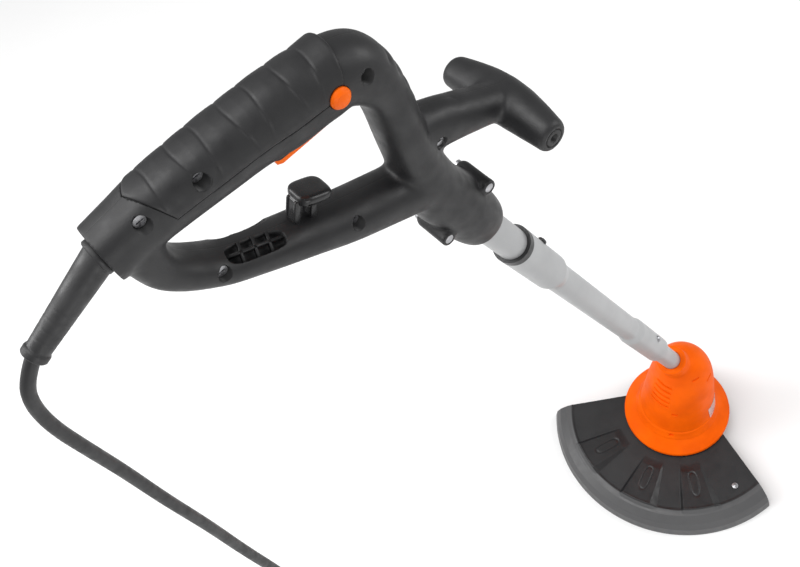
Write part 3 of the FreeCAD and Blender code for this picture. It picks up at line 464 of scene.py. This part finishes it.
tee_grid = tee_grid + TEE_CENTRE - tee_bow[:, None]
boss_grids = []
for side in (1, -1):
    start = CLAMP_MIDDLE + ACROSS * (CLAMP_SCREW_OFFSET * side) - SIDEWAYS * 16.5
    boss_rows = [(0, 0, 0, 4.9), (0.5, 0, 0, 5.4), (26, 0, 0, 5.6), (29, 0, 0, 4.5), (31, 0, 0, 2.0)]
    boss_grids.append(closed(barrel_grid(boss_rows, SIDEWAYS, ACROSS, ALONG, 40) + start))
skin_grids = [
    closed(limb_grid(LIMB, 240, 96)), closed(limb_grid(ARM, 120, 80)), closed(limb_grid(STEM, 60, 80)),
    closed(tee_grid), block_grid((33.5, 0.0, -20.0), (21.5, 9.2, 6.1), 0.0, 9.0),
] + boss_grids
handle = fused("handle_shells", skin_grids, HANDLE_CELL)
spots = points_of(handle)
blend_places = [
    ((-62.0, 0.0, -28.0), 26.0), ((76.0, 0.0, -112.0), 42.0), ((104.0, 0.0, -104.0), 34.0),
    ((152.0, 0.0, -116.0), 27.0), ((66.0, 0.0, -112.0), 26.0), ((13.0, 0.0, -24.0), 9.0),
]
share = np.max([near(spots, centre, reach) for centre, reach in blend_places], axis=0)
for side in (1, -1):
    root = CLAMP_MIDDLE + ACROSS * (17.0 * side)
    share = np.maximum(share, 0.35 * near(spots, root, 16.0))
relaxed(handle, share, 90)
relaxed(handle, np.full(len(spots), 0.5), 6)

# wavy facets run down the front of the bend and the post
spots, facing = points_of(handle), normals_of(handle)
swing = np.degrees(np.arctan2(spots[:, 2] + 60.0, spots[:, 0] - 60.0))
run = np.where(swing > -10, 40 - swing, 50) - np.minimum(spots[:, 2] + 60.0, 0)
band = (np.clip((facing[:, 0] - 0.35) / 0.3, 0, 1) * np.clip((spots[:, 0] - 82.0) / 8.0, 0, 1)
        * np.clip((-8.0 - spots[:, 2]) / 8.0, 0, 1) * np.clip((spots[:, 2] + 92.0) / 10.0, 0, 1)
        * np.clip((15.0 - abs(spots[:, 1])) / 3.0, 0, 1))
wave = (abs(((spots[:, 2] + 4 * abs(spots[:, 1]) / 10) / 10.5) % 1.0 - 0.5) * 2) ** 2
spots = spots - facing * (band * wave * 1.1)[:, None]
move_points(handle, spots)

BUTTON = (56.0, -30.0, -8.0)
SCREWS = [(-57.0, 6.5), (-23.5, 6.0), (74.0, -9.0), (-42.0, -58.0), (35.0, -98.0), (103.5, -95.0)]
cut_grids = [plug_grid((x, -26.0, z), SIDEWAYS, 4.3, 16.6) for x, z in SCREWS]
cut_grids.append(plug_grid(BUTTON, SIDEWAYS, 6.45, 18.0))
cut_grids.append(block_grid((33.75, 0.0, -24.0), (22.2, 7.9, 10.0), squareness=14.0))
cut_grids.append(plug_grid(TEE_CENTRE + [-2.0, -50.0, -1.5], SIDEWAYS, 3.1, 12.0))
cut_grids.append(plug_grid(NOSE + ALONG * -20, ALONG, 12.65, 30.0, 64))
for side in (1, -1):
    middle = CLAMP_MIDDLE + ACROSS * (CLAMP_SCREW_OFFSET * side)
    cut_grids.append(plug_grid(middle - SIDEWAYS * 18.0, SIDEWAYS, 3.7, 5.1))
tee_end = TEE_CENTRE + [-2.0, -46.0, -1.5]
ring_rows = [(-2, 0, 0, 5.6), (-2, 0, 0, 6.7), (1.1, 0, 0, 6.7), (1.1, 0, 0, 5.6), (-2, 0, 0, 5.6)]
cut_grids.append(barrel_grid(ring_rows, SIDEWAYS, UPWARDS, np.array([1.0, 0, 0]), 48) + tee_end)
carved(handle, cut_grids)


def shell_material():
    """Charcoal nylon with a spark-eroded grain and faint rub marks.

    Fine dark lines mark where the shells meet, and a joint across the arm.
    """
    material, tree, shader = new_material("charcoal_nylon")
    place = tree.nodes.new("ShaderNodeTexCoord")
    part = tree.nodes.new("ShaderNodeSeparateXYZ")
    tree.links.new(place.outputs["Object"], part.inputs["Vector"])
    side = tree.nodes.new("ShaderNodeMath")
    side.operation = "ABSOLUTE"
    tree.links.new(part.outputs["Y"], side.inputs[0])
    joint = between(tree, side.outputs["Value"], 1.0, 0.0, 0.00012, 0.0004)
    seam = tree.nodes.new("ShaderNodeMath")
    seam.operation = "COMPARE"
    seam.inputs[1].default_value = 0.0455
    seam.inputs[2].default_value = 0.00028
    tree.links.new(part.outputs["X"], seam.inputs[0])
    below = between(tree, part.outputs["Z"], 1.0, 0.0, -0.0865, -0.086)
    ring = tree.nodes.new("ShaderNodeMath")
    ring.operation = "MULTIPLY_ADD"
    ring.use_clamp = True
    tree.links.new(seam.outputs["Value"], ring.inputs[0])
    tree.links.new(below, ring.inputs[1])
    tree.links.new(joint, ring.inputs[2])
    joint = ring.outputs["Value"]
    drift = between(tree, noise(tree, 38.0, 5.0), 0.0, 1.0)
    tone = blend_colours(tree, drift, (0.008, 0.008, 0.009), (0.013, 0.013, 0.014))
    edge = tree.nodes.new("ShaderNodeMix")
    edge.data_type = "RGBA"
    edge.inputs["B"].default_value = (0.008, 0.008, 0.008, 1.0)
    tree.links.new(joint, edge.inputs["Factor"])
    tree.links.new(tone, edge.inputs["A"])
    tree.links.new(edge.outputs["Result"], shader.inputs["Base Color"])
    rub = between(tree, noise(tree, 95.0, 4.0), 0.42, 0.56)
    tree.links.new(rub, shader.inputs["Roughness"])
    grain = tree.nodes.new("ShaderNodeMath")
    grain.operation = "SUBTRACT"
    tree.links.new(noise(tree, 2600.0, 2.0), grain.inputs[0])
    tree.links.new(joint, grain.inputs[1])
    bump = tree.nodes.new("ShaderNodeBump")
    bump.inputs["Strength"].default_value = 0.5
    bump.inputs["Distance"].default_value = 0.00014
    tree.links.new(grain.outputs["Value"], bump.inputs["Height"])
    tree.links.new(bump.outputs["Normal"], shader.inputs["Normal"])
    return material


charcoal_nylon = shell_material()
clad(handle, charcoal_nylon, "handle_shell", "right_shell", "left_shell")

# --------------------------------------------------------------------------
# Grip cover: a soft over-moulded skin on the upper half of the rear grip. It
# swells into cells between shallow slanting grooves and ends in a thin seam.
# --------------------------------------------------------------------------
COVER_LENGTH = 119.0
COVER_PITCH = 15.5
COVER_GROOVES = -42.0 + COVER_PITCH * np.arange(7)
# these rows end at x = 50, and points beyond them keep the section there
spine = through(LIMB[:10], 400)[:260]


def grip_point(x, angle, lift):
    """A point of the rear grip.

    The spine gives the section at x, and a superellipse gives the place on
    it at an angle from the top, lifted outwards.
    """
    z, heading, depth, width = (np.interp(x, spine[:, 0], spine[:, k]) for k in (1, 2, 3, 4))
    high, wide = superellipse(angle, 2.25)
    turn = np.radians(heading)
    rise = (depth + lift) * high
    return np.stack([x - np.sin(turn) * rise, (width + lift) * wide, z + np.cos(turn) * rise], -1)


cover_angle = np.radians(np.linspace(-91.0, 91.0, 150))[None, :]
cover_share = np.linspace(0.0, 1.0, 260)[:, None]
round_side = abs(cover_angle) / math.pi * 2
cover_tail = -55.0 + 12.0 * round_side
cover_front = 64.0 - 5.0 * round_side ** 2
cover_x = cover_tail * (1 - cover_share) + cover_front * cover_share
gap = np.full(np.broadcast(cover_x, cover_angle).shape, 99.0)
for number, groove in enumerate(COVER_GROOVES):
    lean = 3.6 if number % 2 else -3.6
    gap = np.minimum(gap, abs(cover_x - groove - lean * round_side ** 1.3))
fade = np.clip((1.02 - round_side) / 0.26, 0, 1)
to_ends = np.minimum(cover_share, 1 - cover_share) * COVER_LENGTH
to_sides = (1.01 - round_side) * 28
rim = np.clip(np.minimum(to_ends, to_sides) / 1.6, 0, 1)
groove_cut = 0.26 * (1 - np.exp(-(gap / 0.8) ** 2)) * fade
swell = 0.30 * np.clip(gap / (COVER_PITCH / 2), 0, 1) ** 0.8 * np.clip((0.75 - round_side) / 0.4, 0, 1)
cell = groove_cut + swell
cover_points = grip_point(cover_x, cover_angle, 0.02 + (0.16 + cell) * np.sqrt(rim))
cover = grid_mesh("soft_cover", cover_points * MM)
skin = cover.modifiers.new("skin", "SOLIDIFY")
skin.thickness = 0.0011
skin.offset = -1.0
settled(cover)
carved(cover, [plug_grid((x, -30.0, z), SIDEWAYS, 4.9, 28.0) for x, z in SCREWS[:2]]
       + [plug_grid(BUTTON, SIDEWAYS, 7.3, 28.0)])
soft_rubber = finish("soft_rubber", (0.007, 0.007, 0.008), (0.012, 0.012, 0.013),
                     (0.46, 0.6), 2200.0, 0.00012, mottle=50.0)
clad(cover, soft_rubber, "soft_grip", "grip_cover")

# the shells step down along the cover's border, which leaves a thin dark line
flush = grip_point(cover_x, cover_angle, 0.0)
border = np.concatenate([flush[:-1, 0], flush[-1, :-1], flush[:0:-1, -1], flush[0, :0:-1]])[::3]
ahead = np.roll(border, -1, axis=0) - np.roll(border, 1, axis=0)
ahead /= np.linalg.norm(ahead, axis=1)[:, None]
outwards = border * [0.0, 1.0, 1.0] - [0.0, 0.0, -3.5]
outwards -= ahead * (outwards * ahead).sum(1)[:, None]
outwards /= np.linalg.norm(outwards, axis=1)[:, None]
sideways = np.cross(ahead, outwards)
turn = np.linspace(0, 2 * np.pi, 10, endpoint=False)
trench = (border[:, None] + 0.42 * np.cos(turn)[None, :, None] * sideways[:, None]
          + 0.9 * np.sin(turn)[None, :, None] * outwards[:, None])
carved(handle, [np.concatenate([trench, trench[:1]])])
clad(handle, charcoal_nylon, "handle_shell")

# --------------------------------------------------------------------------
# Cord hook: a glossy moulded paddle on two legs, with a channel that traps
# the extension lead's loop so that the plug isn't pulled out.
# --------------------------------------------------------------------------
HOOK_ROOT = np.array([11.5, 0.0, -79.5])
HOOK_LEAN = math.radians(27.0)


def hook_place(x, z, y=0.0):
    """A place in the hook's own tilted frame."""
    return HOOK_ROOT + [x * math.cos(HOOK_LEAN) + z * math.sin(HOOK_LEAN), y,
                        z * math.cos(HOOK_LEAN) - x * math.sin(HOOK_LEAN)]


hook_grids = [block_grid(hook_place(5.3, 16.0), (10.8, 10.0, 3.9), HOOK_LEAN, 3.6, 24, 64)]
for middle in (-5.0, 6.0):
    hook_grids.append(block_grid(hook_place(middle, 4.5), (1.5, 5.0, 10.4), HOOK_LEAN, 9.0, 24, 40))
    for side in (-1, 1):
        rib_place = hook_place(middle, 8.0, 3.8 * side)
        hook_grids.append(block_grid(rib_place, (2.2, 1.0, 7.4), HOOK_LEAN, 7.0, 20, 32))
hook = fused("hook", hook_grids, HOOK_CELL)
relaxed(hook, np.full(len(hook.data.vertices), 0.6), 5)
carved(hook, [block_grid(hook_place(8.0, 14.6), (10.0, 16.0, 0.85), HOOK_LEAN, 10.0, 16, 48)])
gloss_black = finish("gloss_black", (0.012, 0.012, 0.013), (0.02, 0.02, 0.021),
                     (0.24, 0.36), 900.0, 0.00004, mottle=70.0)
clad(hook, gloss_black, "black_plastic", "cord_hook")

# --------------------------------------------------------------------------
# Side vents: a moulded lattice of thin bars set back in a rounded window in
# each shoulder of the arm, snapped in from behind.
# --------------------------------------------------------------------------
BAR_HALF = 0.8
VENT_SLOPE = math.radians(-28.0)
VENT_RUN = np.array([math.cos(VENT_SLOPE), 0.0, math.sin(VENT_SLOPE)])
VENT_UP = np.array([-math.sin(VENT_SLOPE), 0.0, math.cos(VENT_SLOPE)])
for side, name, rise, facing_up in ((-1, "right_vent", 0.90, 1.12), (1, "left_vent", 0.50, 0.85)):
    outward = math.cos(facing_up) * SIDEWAYS * side + math.sin(facing_up) * VENT_UP
    upward = np.cross(outward, VENT_RUN) * -side
    ray = math.cos(rise) * SIDEWAYS * side + math.sin(rise) * VENT_UP
    middle = np.array([-24.0, 0.0, -73.8]) + (12.1 if side < 0 else 13.2) * ray
    turn = np.linspace(0, 2 * np.pi, 64, endpoint=False)
    wide, high = superellipse(turn, 3.6)
    window = middle + VENT_RUN * (18.6 * wide)[:, None] + upward * (6.2 * high)[:, None]
    carved(handle, [closed(np.stack([window - outward * 5.0, window + outward * 9.0]))])
    bars = []
    for across in (-9.0, 0.0, 9.0):
        lean = VENT_RUN * 1.2
        bars.append([middle + VENT_RUN * across + upward * 6.6 * k + lean * k - outward * 1.2
                     for k in (-1, 1)])
    bars.append([middle + VENT_RUN * 17.6 * k + upward * 0.6 - outward * 1.2 for k in (-1, 1)])
    strips = []
    for low, far in bars:
        along_bar = (far - low) / np.linalg.norm(far - low)
        cross = np.cross(outward, along_bar)
        square = np.array([[1, 1], [-1, 1], [-1, -1], [1, -1]])
        ring = cross * (square[:, :1] * BAR_HALF) + outward * (square[:, 1:] * 1.1)
        strips.append(closed(np.stack([low + ring, far + ring])))
    lattice = merged_grids(name, strips)
    clad(lattice, charcoal_nylon, "black_plastic", name + "_grille")

# --------------------------------------------------------------------------
# Cable boot: a tapering moulded sleeve, ribbed so that it bends evenly, with
# a flange against the tail of the grip and a bead at its mouth.
# --------------------------------------------------------------------------
boot_axis = np.array(BOOT_LINE)
boot_lift = np.cross(SIDEWAYS, boot_axis) * -1
run = np.linspace(-1.0, 62.0, 200)
taper = np.interp(run, [-1, 57, 57.6, 58.5, 61.4, 62], [8.8, 6.55, 7.1, 7.4, 7.35, 6.9])
rib = np.where((run > 30) & (run < 54), 0.1 * (1 - np.exp(-(((run - 30) % 6 - 3) / 0.7) ** 2)) - 0.1, 0)
inner = [(62.0, 0, 0, 4.35), (40.0, 0, 0, 4.35), (-1.0, 0, 0, 4.35)]
outer_rows = np.column_stack([run, 0 * run, 0 * run, taper + rib])
boot_rows = np.vstack([outer_rows, inner, outer_rows[:1]])
boot_root = np.array(BOOT_ROOT) / MM
boot_grid = barrel_grid(boot_rows, boot_axis, boot_lift, SIDEWAYS, 64) + boot_root
boot = merged_grids("boot_sleeve", [boot_grid])
flange_rows = [(0, 0, 0, 4.4), (0, 0, 0, 9.8), (0.5, 0, 0, 10.2), (2.6, 0, 0, 10.2), (3.4, 0, 0, 9.4),
               (3.4, 0, 0, 4.4), (0, 0, 0, 4.4)]
flange_grid = barrel_grid(flange_rows, np.array([-1.0, 0, 0]), UPWARDS, SIDEWAYS, 64) + boot_root
flange = merged_grids("boot_flange", [flange_grid])
clad(boot, rubber_sheath, "cord_rubber", "cable_boot")
clad(flange, rubber_sheath, "cord_rubber")

# --------------------------------------------------------------------------
# Motor housing: one orange moulding, a bell over the motor with a hood that
# takes the tube, a crease above its skirt, five cooling slots behind and a
# few shallow recesses.
# --------------------------------------------------------------------------
RIM = np.array([321.40, 0.0, -935.44])
BELL_BASE = 30.0
CREASE_HEIGHT = 60.0
LOBE_AZIMUTHS = (116.0, -62.0)
BELL = [
    (0.0, 0.0, 68.5), (5.0, 0.0, 66.5), (13.0, 0.0, 57.5), (22.0, 0.5, 50.5), (36.0, 2.0, 47.0),
    (62.0, 5.0, 44.0), (92.0, 8.0, 40.5), (116.0, 10.0, 35.5), (134.0, 9.0, 28.5), (147.0, 6.0, 19.0),
    (154.0, 3.0, 6.5),
]
EAST = np.array([1.0, 0.0, 0.0])


def level_direction(azimuth):
    """A level unit vector, its azimuth in degrees from X towards Y."""
    return np.array([math.cos(math.radians(azimuth)), math.sin(math.radians(azimuth)), 0.0])


bell_rows = through(BELL, 160)
bell_rows = np.column_stack([bell_rows[:, 0], bell_rows[:, 1], 0 * bell_rows[:, 0], bell_rows[:, 2]])
bell_grid = barrel_grid(bell_rows, UPWARDS, EAST, SIDEWAYS, 160) + RIM + UPWARDS * BELL_BASE
hood_root = NOSE + ALONG * 554.0
hood_rows = [(0, 0, 0, 16.2), (0.5, 0, 0, 17.2), (1.6, 0, 0, 17.8), (24, 0, 0, 17.8), (40, 0, 0, 20.0)]
hood_grid = barrel_grid(hood_rows, ALONG, ACROSS, SIDEWAYS, 96) + hood_root
lobes = []
for azimuth in LOBE_AZIMUTHS:
    away = level_direction(azimuth)
    lobes.append(block_grid(RIM + away * 52.0 + UPWARDS * 37.0, (9.0, 9.0, 6.0), 0.0, 2.6, 18, 40))
housing = fused("housing_bell", [closed(bell_grid), closed(hood_grid)] + lobes, HOUSING_CELL)
spots = points_of(housing)
mouth = NOSE + ALONG * 578.0 + ACROSS * 4.0
share = near(spots, mouth, 34.0) * np.clip((np.linalg.norm(spots - hood_root, axis=1) - 20) / 8, 0, 1)
for azimuth in LOBE_AZIMUTHS:
    away = level_direction(azimuth)
    share = np.maximum(share, near(spots, RIM + away * 54.0 + UPWARDS * 40.0, 17.0))
relaxed(housing, share, 60)
relaxed(housing, np.full(len(spots), 0.5), 5)
spots, facing = points_of(housing), normals_of(housing)
height = spots[:, 2] - RIM[2]
crease = np.exp(-((height - CREASE_HEIGHT) / 1.1) ** 2) * 0.9
step = 0.6 / (1 + np.exp(np.clip((height - CREASE_HEIGHT) / 0.7, -30, 30)))
spots = spots - facing * (crease - step)[:, None] * (abs(facing[:, 2:]) < 0.6)
move_points(housing, spots)


def round_slot(height, azimuth, half_turn, half_high, depth):
    """A slot that follows the bell: a superellipse section swept around it."""
    radius = np.interp(height - BELL_BASE, bell_rows[:, 0], bell_rows[:, 3])
    shift = np.interp(height - BELL_BASE, bell_rows[:, 0], bell_rows[:, 1])
    turns = np.radians(np.linspace(azimuth - half_turn, azimuth + half_turn, 24))
    ends = np.sqrt(np.clip(1 - np.linspace(-1, 1, 24) ** 10, 0.03, 1))
    out, up = superellipse(np.linspace(0, 2 * np.pi, 20, endpoint=False), 5.0)
    away = np.stack([np.cos(turns), np.sin(turns), 0 * turns], -1)
    reach = radius + out[None, :] * depth
    lift = up[None, :] * half_high * ends[:, None]
    ring = away[:, None] * reach[..., None] + UPWARDS * (height + lift)[..., None]
    return closed(ring + RIM + EAST * shift)


slots = [round_slot(112.0 + 9.3 * step, 181.5, 20.0, 2.0, 8.0) for step in range(5)]
# height above the rim, azimuth, half its sweep in degrees, half its height
marks = [
    (99.0, -147.0, 5.0, 1.9), (55.0, -147.0, 3.4, 2.3),
    (163.0, -103.0, 10.0, 1.3), (147.0, -71.0, 11.0, 1.3),
]
carved(housing, slots + [round_slot(*mark, 2.2) for mark in marks])
carved(housing, [plug_grid(NOSE + ALONG * 550.0, ALONG, 11.15, 16.0, 64)])
carved(housing, [plug_grid(RIM + UPWARDS * 25.0, UPWARDS, 60.5, 12.0, 96)])
orange_shell = finish("orange_shell", (0.86, 0.105, 0.0), (0.98, 0.13, 0.0),
                      (0.45, 0.58), 1600.0, 0.00008, mottle=35.0, specular=0.07)
clad(housing, orange_shell, "orange_plastic", "motor_housing")

# --------------------------------------------------------------------------
# Guard: a black moulded fan under the motor with a rolled lip, stiffened by
# three raised pads whose side walls grow towards the lip.
# --------------------------------------------------------------------------
GUARD_TURN = 19.0
GUARD_REACH = 166.0
profile = np.array([
    (12, 24.4), (60, 24.4), (GUARD_REACH - 28, 24.4), (GUARD_REACH - 20, 22.4), (GUARD_REACH - 11, 16.4),
    (GUARD_REACH - 5.6, 10.8), (GUARD_REACH - 2.8, 0.1), (GUARD_REACH, 0.1), (GUARD_REACH - 0.4, 3.2),
    (GUARD_REACH - 2.6, 12.2), (GUARD_REACH - 8, 20.0), (GUARD_REACH - 18, 25.8), (GUARD_REACH - 26, 27.0),
    (60, 27.0), (12, 27.0),
], float)
knots = np.concatenate([[0], np.cumsum(np.linalg.norm(np.diff(profile, axis=0), axis=1))])
over_lip = np.linspace(knots[2], knots[13], 130)
fine = np.unique(np.concatenate([np.linspace(0, knots[-1], 12), knots, over_lip]))
reach = np.interp(fine, knots, profile[:, 0])
high = np.interp(fine, knots, profile[:, 1])
fan_turns = np.linspace(120, 278, 470, endpoint=False)
turns = np.concatenate([fan_turns, np.linspace(278, 480, 40, endpoint=False)])
top = (fine > knots[9])[None, :]
pad_lift = np.zeros((len(turns), len(fine)))
for middle in (164.0, 200.0, 233.0):
    off = abs((turns[:, None] - middle + 180) % 360 - 180)
    signed = (turns[:, None] - middle + 180) % 360 - 180
    spread = np.where(signed > 0, 1.4 + 2.6 * np.clip((reach[None, :] - 80) / 60, 0, 1), 1.4)
    slope = np.clip((9.0 + spread / 2 - off) / spread, 0, 1)
    grow = np.clip((reach[None, :] - 80) / 10, 0, 1) * np.clip((145.0 - reach[None, :]) / 4.5, 0, 1)
    pad_lift += slope * grow * (0.8 + 4.0 * np.clip((reach[None, :] - 80) / 60, 0, 1))
    ring_shape = ((off * np.pi / 180 * reach[None, :]) / 5.4) ** 2 + ((reach[None, :] - 108) / 16.5) ** 4
    pad_lift -= 0.9 * np.exp(-((ring_shape - 1) / 0.22) ** 2)
pad_lift += 0.8 * np.exp(-((reach[None, :] - 141.5) / 1.6) ** 2)
azimuth = np.radians(turns)[:, None]
guard_points = np.stack([reach * np.cos(azimuth), reach * np.sin(azimuth),
                         high + np.where(top, pad_lift, 0)], -1) + RIM
guard = grid_mesh("guard_fan", guard_points * MM, around=True, along=True)
for side in (1, -1):
    outline = np.array([
        (-6, 64), (-113, 218), (218, 218), (218, -0.5), (63, -0.5), (45, 45), (0, 64),
    ], float)
    cosine, sine = math.cos(math.radians(GUARD_TURN)), math.sin(math.radians(GUARD_TURN))
    x, y = outline[:, 0], outline[:, 1] * side
    flat = np.stack([x * cosine - y * sine, x * sine + y * cosine], -1)
    levels = [np.column_stack([flat, np.full(len(flat), level)]) for level in (-6.0, 44.0)]
    carved(guard, [closed(np.stack(levels) + RIM)])
guard_plastic = finish("guard_plastic", (0.006, 0.006, 0.007), (0.011, 0.011, 0.012),
                       (0.36, 0.5), 1500.0, 0.00014, mottle=40.0)
guard_tree = guard_plastic.node_tree
# Painted sheen: beyond 141.5 mm from the axis the base colour is mixed to a lighter grey, standing in for
# the light that the rolled lip catches.
rim_place = guard_tree.nodes.new("ShaderNodeTexCoord")
rim_shift = guard_tree.nodes.new("ShaderNodeMapping")
rim_shift.inputs["Location"].default_value = (-RIM[0] * MM, 0.0, 0.0)
rim_shift.inputs["Scale"].default_value = (1.0, 1.0, 0.0)
rim_reach = guard_tree.nodes.new("ShaderNodeVectorMath")
rim_reach.operation = "LENGTH"
guard_tree.links.new(rim_place.outputs["Object"], rim_shift.inputs["Vector"])
guard_tree.links.new(rim_shift.outputs["Vector"], rim_reach.inputs[0])
lip_sheen_share = between(guard_tree, rim_reach.outputs["Value"], 0.0, 1.0, 0.1415, 0.1425)
lip_sheen_tone = guard_tree.nodes.new("ShaderNodeMix")
lip_sheen_tone.data_type = "RGBA"
lip_sheen_tone.inputs["B"].default_value = (0.075, 0.075, 0.077, 1.0)
guard_shader = guard_tree.nodes["Principled BSDF"]
guard_tree.links.new(lip_sheen_share, lip_sheen_tone.inputs["Factor"])
guard_tree.links.new(guard_shader.inputs["Base Color"].links[0].from_socket, lip_sheen_tone.inputs["A"])
guard_tree.links.new(lip_sheen_tone.outputs["Result"], guard_shader.inputs["Base Color"])
clad(guard, guard_plastic, "guard_plastic", "guard")

# --------------------------------------------------------------------------
# Spool spring: three turns of drawn spring wire between the cup and the
# spool, which flatten as the spool is bumped up to feed line.
# --------------------------------------------------------------------------
spring_steel = finish("spring_steel", (0.4, 0.4, 0.42), (0.58, 0.58, 0.6),
                      (0.2, 0.34), 1500.0, 0.00002, mottle=400.0, metal=1.0)
COIL_RADIUS = 6.5
WIRE_RADIUS = 0.6
winding = np.linspace(0, 3 * 2 * np.pi, 180)
round_wire = np.linspace(0, 2 * np.pi, 14, endpoint=False)
away = np.stack([np.cos(winding), np.sin(winding), 0 * winding], -1)
coil_reach = COIL_RADIUS + WIRE_RADIUS * np.cos(round_wire)
coil_rise = 15.15 + 4.2 * (winding / winding[-1])[:, None] + WIRE_RADIUS * np.sin(round_wire)
coil_grid = away[:, None] * coil_reach[None, :, None] + UPWARDS * coil_rise[..., None] + RIM
coil = merged_grids("spool_coil", [closed(coil_grid)])
coil.data.materials.append(spring_steel)
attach(coil, "rotor")
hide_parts("spool_spring")
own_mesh(coil)

# --------------------------------------------------------------------------
# Everything else keeps the shape it was made in: steel screws and springs,
# painted tubes, brass pins, copper windings, nylon line and so on.
# --------------------------------------------------------------------------
tube_paint = finish("tube_paint", (0.41, 0.415, 0.42), (0.45, 0.455, 0.46),
                    (0.38, 0.46), 1400.0, 0.00002, mottle=18.0, metal=0.2)
screw_steel = finish("screw_steel", (0.32, 0.32, 0.33), (0.5, 0.5, 0.52),
                     (0.25, 0.4), 900.0, 0.00004, mottle=300.0, metal=1.0)
orange_gloss = finish("orange_gloss", (0.90, 0.13, 0.0), (1.0, 0.16, 0.0),
                      (0.36, 0.48), 1600.0, 0.00005, mottle=60.0, specular=0.2)
black_plastic = finish("black_plastic", (0.016, 0.016, 0.017), (0.028, 0.028, 0.03),
                       (0.35, 0.5), 1400.0, 0.0001, mottle=60.0)
brass = finish("contact_brass", (0.62, 0.42, 0.14), (0.75, 0.54, 0.22),
               (0.22, 0.36), 800.0, 0.00002, mottle=200.0, metal=1.0)
foil = finish("label_foil", (0.5, 0.5, 0.52), (0.62, 0.62, 0.64),
              (0.25, 0.4), 500.0, 0.00003, mottle=90.0, metal=0.6)
motor_steel = finish("motor_steel", (0.3, 0.3, 0.31), (0.42, 0.42, 0.43),
                     (0.35, 0.5), 700.0, 0.00005, mottle=90.0, metal=0.9)
magnet = finish("ferrite", (0.03, 0.03, 0.032), (0.05, 0.05, 0.052),
                (0.6, 0.75), 700.0, 0.0001, mottle=120.0)
copper = finish("copper", (0.6, 0.22, 0.1), (0.75, 0.32, 0.16),
                (0.25, 0.4), 1800.0, 0.00015, mottle=300.0, metal=1.0)
nylon = finish("trimmer_nylon", (0.75, 0.3, 0.02), (0.85, 0.4, 0.04),
               (0.25, 0.4), 900.0, 0.00005, mottle=200.0)
plug_rubber = finish("plug_rubber", (0.018, 0.018, 0.019), (0.03, 0.03, 0.031),
                     (0.4, 0.55), 1300.0, 0.0001, mottle=60.0)
dressed(tube_paint, "upper_tube", "middle_tube", "lower_tube")
dressed(screw_steel, "shell_screws", "clamp_screws", "clamp_nuts", "guard_screws", "cutter_screw",
        "trigger_pin", "line_cutter", "spool_nut", "snap_button_lower")
dressed(spring_steel, "trigger_spring", "lock_spring", "snap_spring_upper", "snap_spring_lower")
dressed(orange_gloss, "trigger", "lock_button")
dressed(black_plastic, "socket_ring", "switch_case", "lower_liner", "lock_stem", "spool_cup", "line_spool",
        "bump_cap", "cooling_fan", "snap_button_upper")
dressed(brass, "plug_pins", "switch_terminals", "line_eyelet")
dressed(foil, "blank_label")
dressed(motor_steel, "motor_can", "lower_bearing", "upper_bearing", "motor_shaft", "armature", "motor_base")
dressed(magnet, "field_magnets", "carbon_brushes")
dressed(copper, "commutator")
dressed(nylon, "cutting_line", "wound_line")
dressed(plug_rubber, "plug_body", "cord_in_boot", "motor_lead")
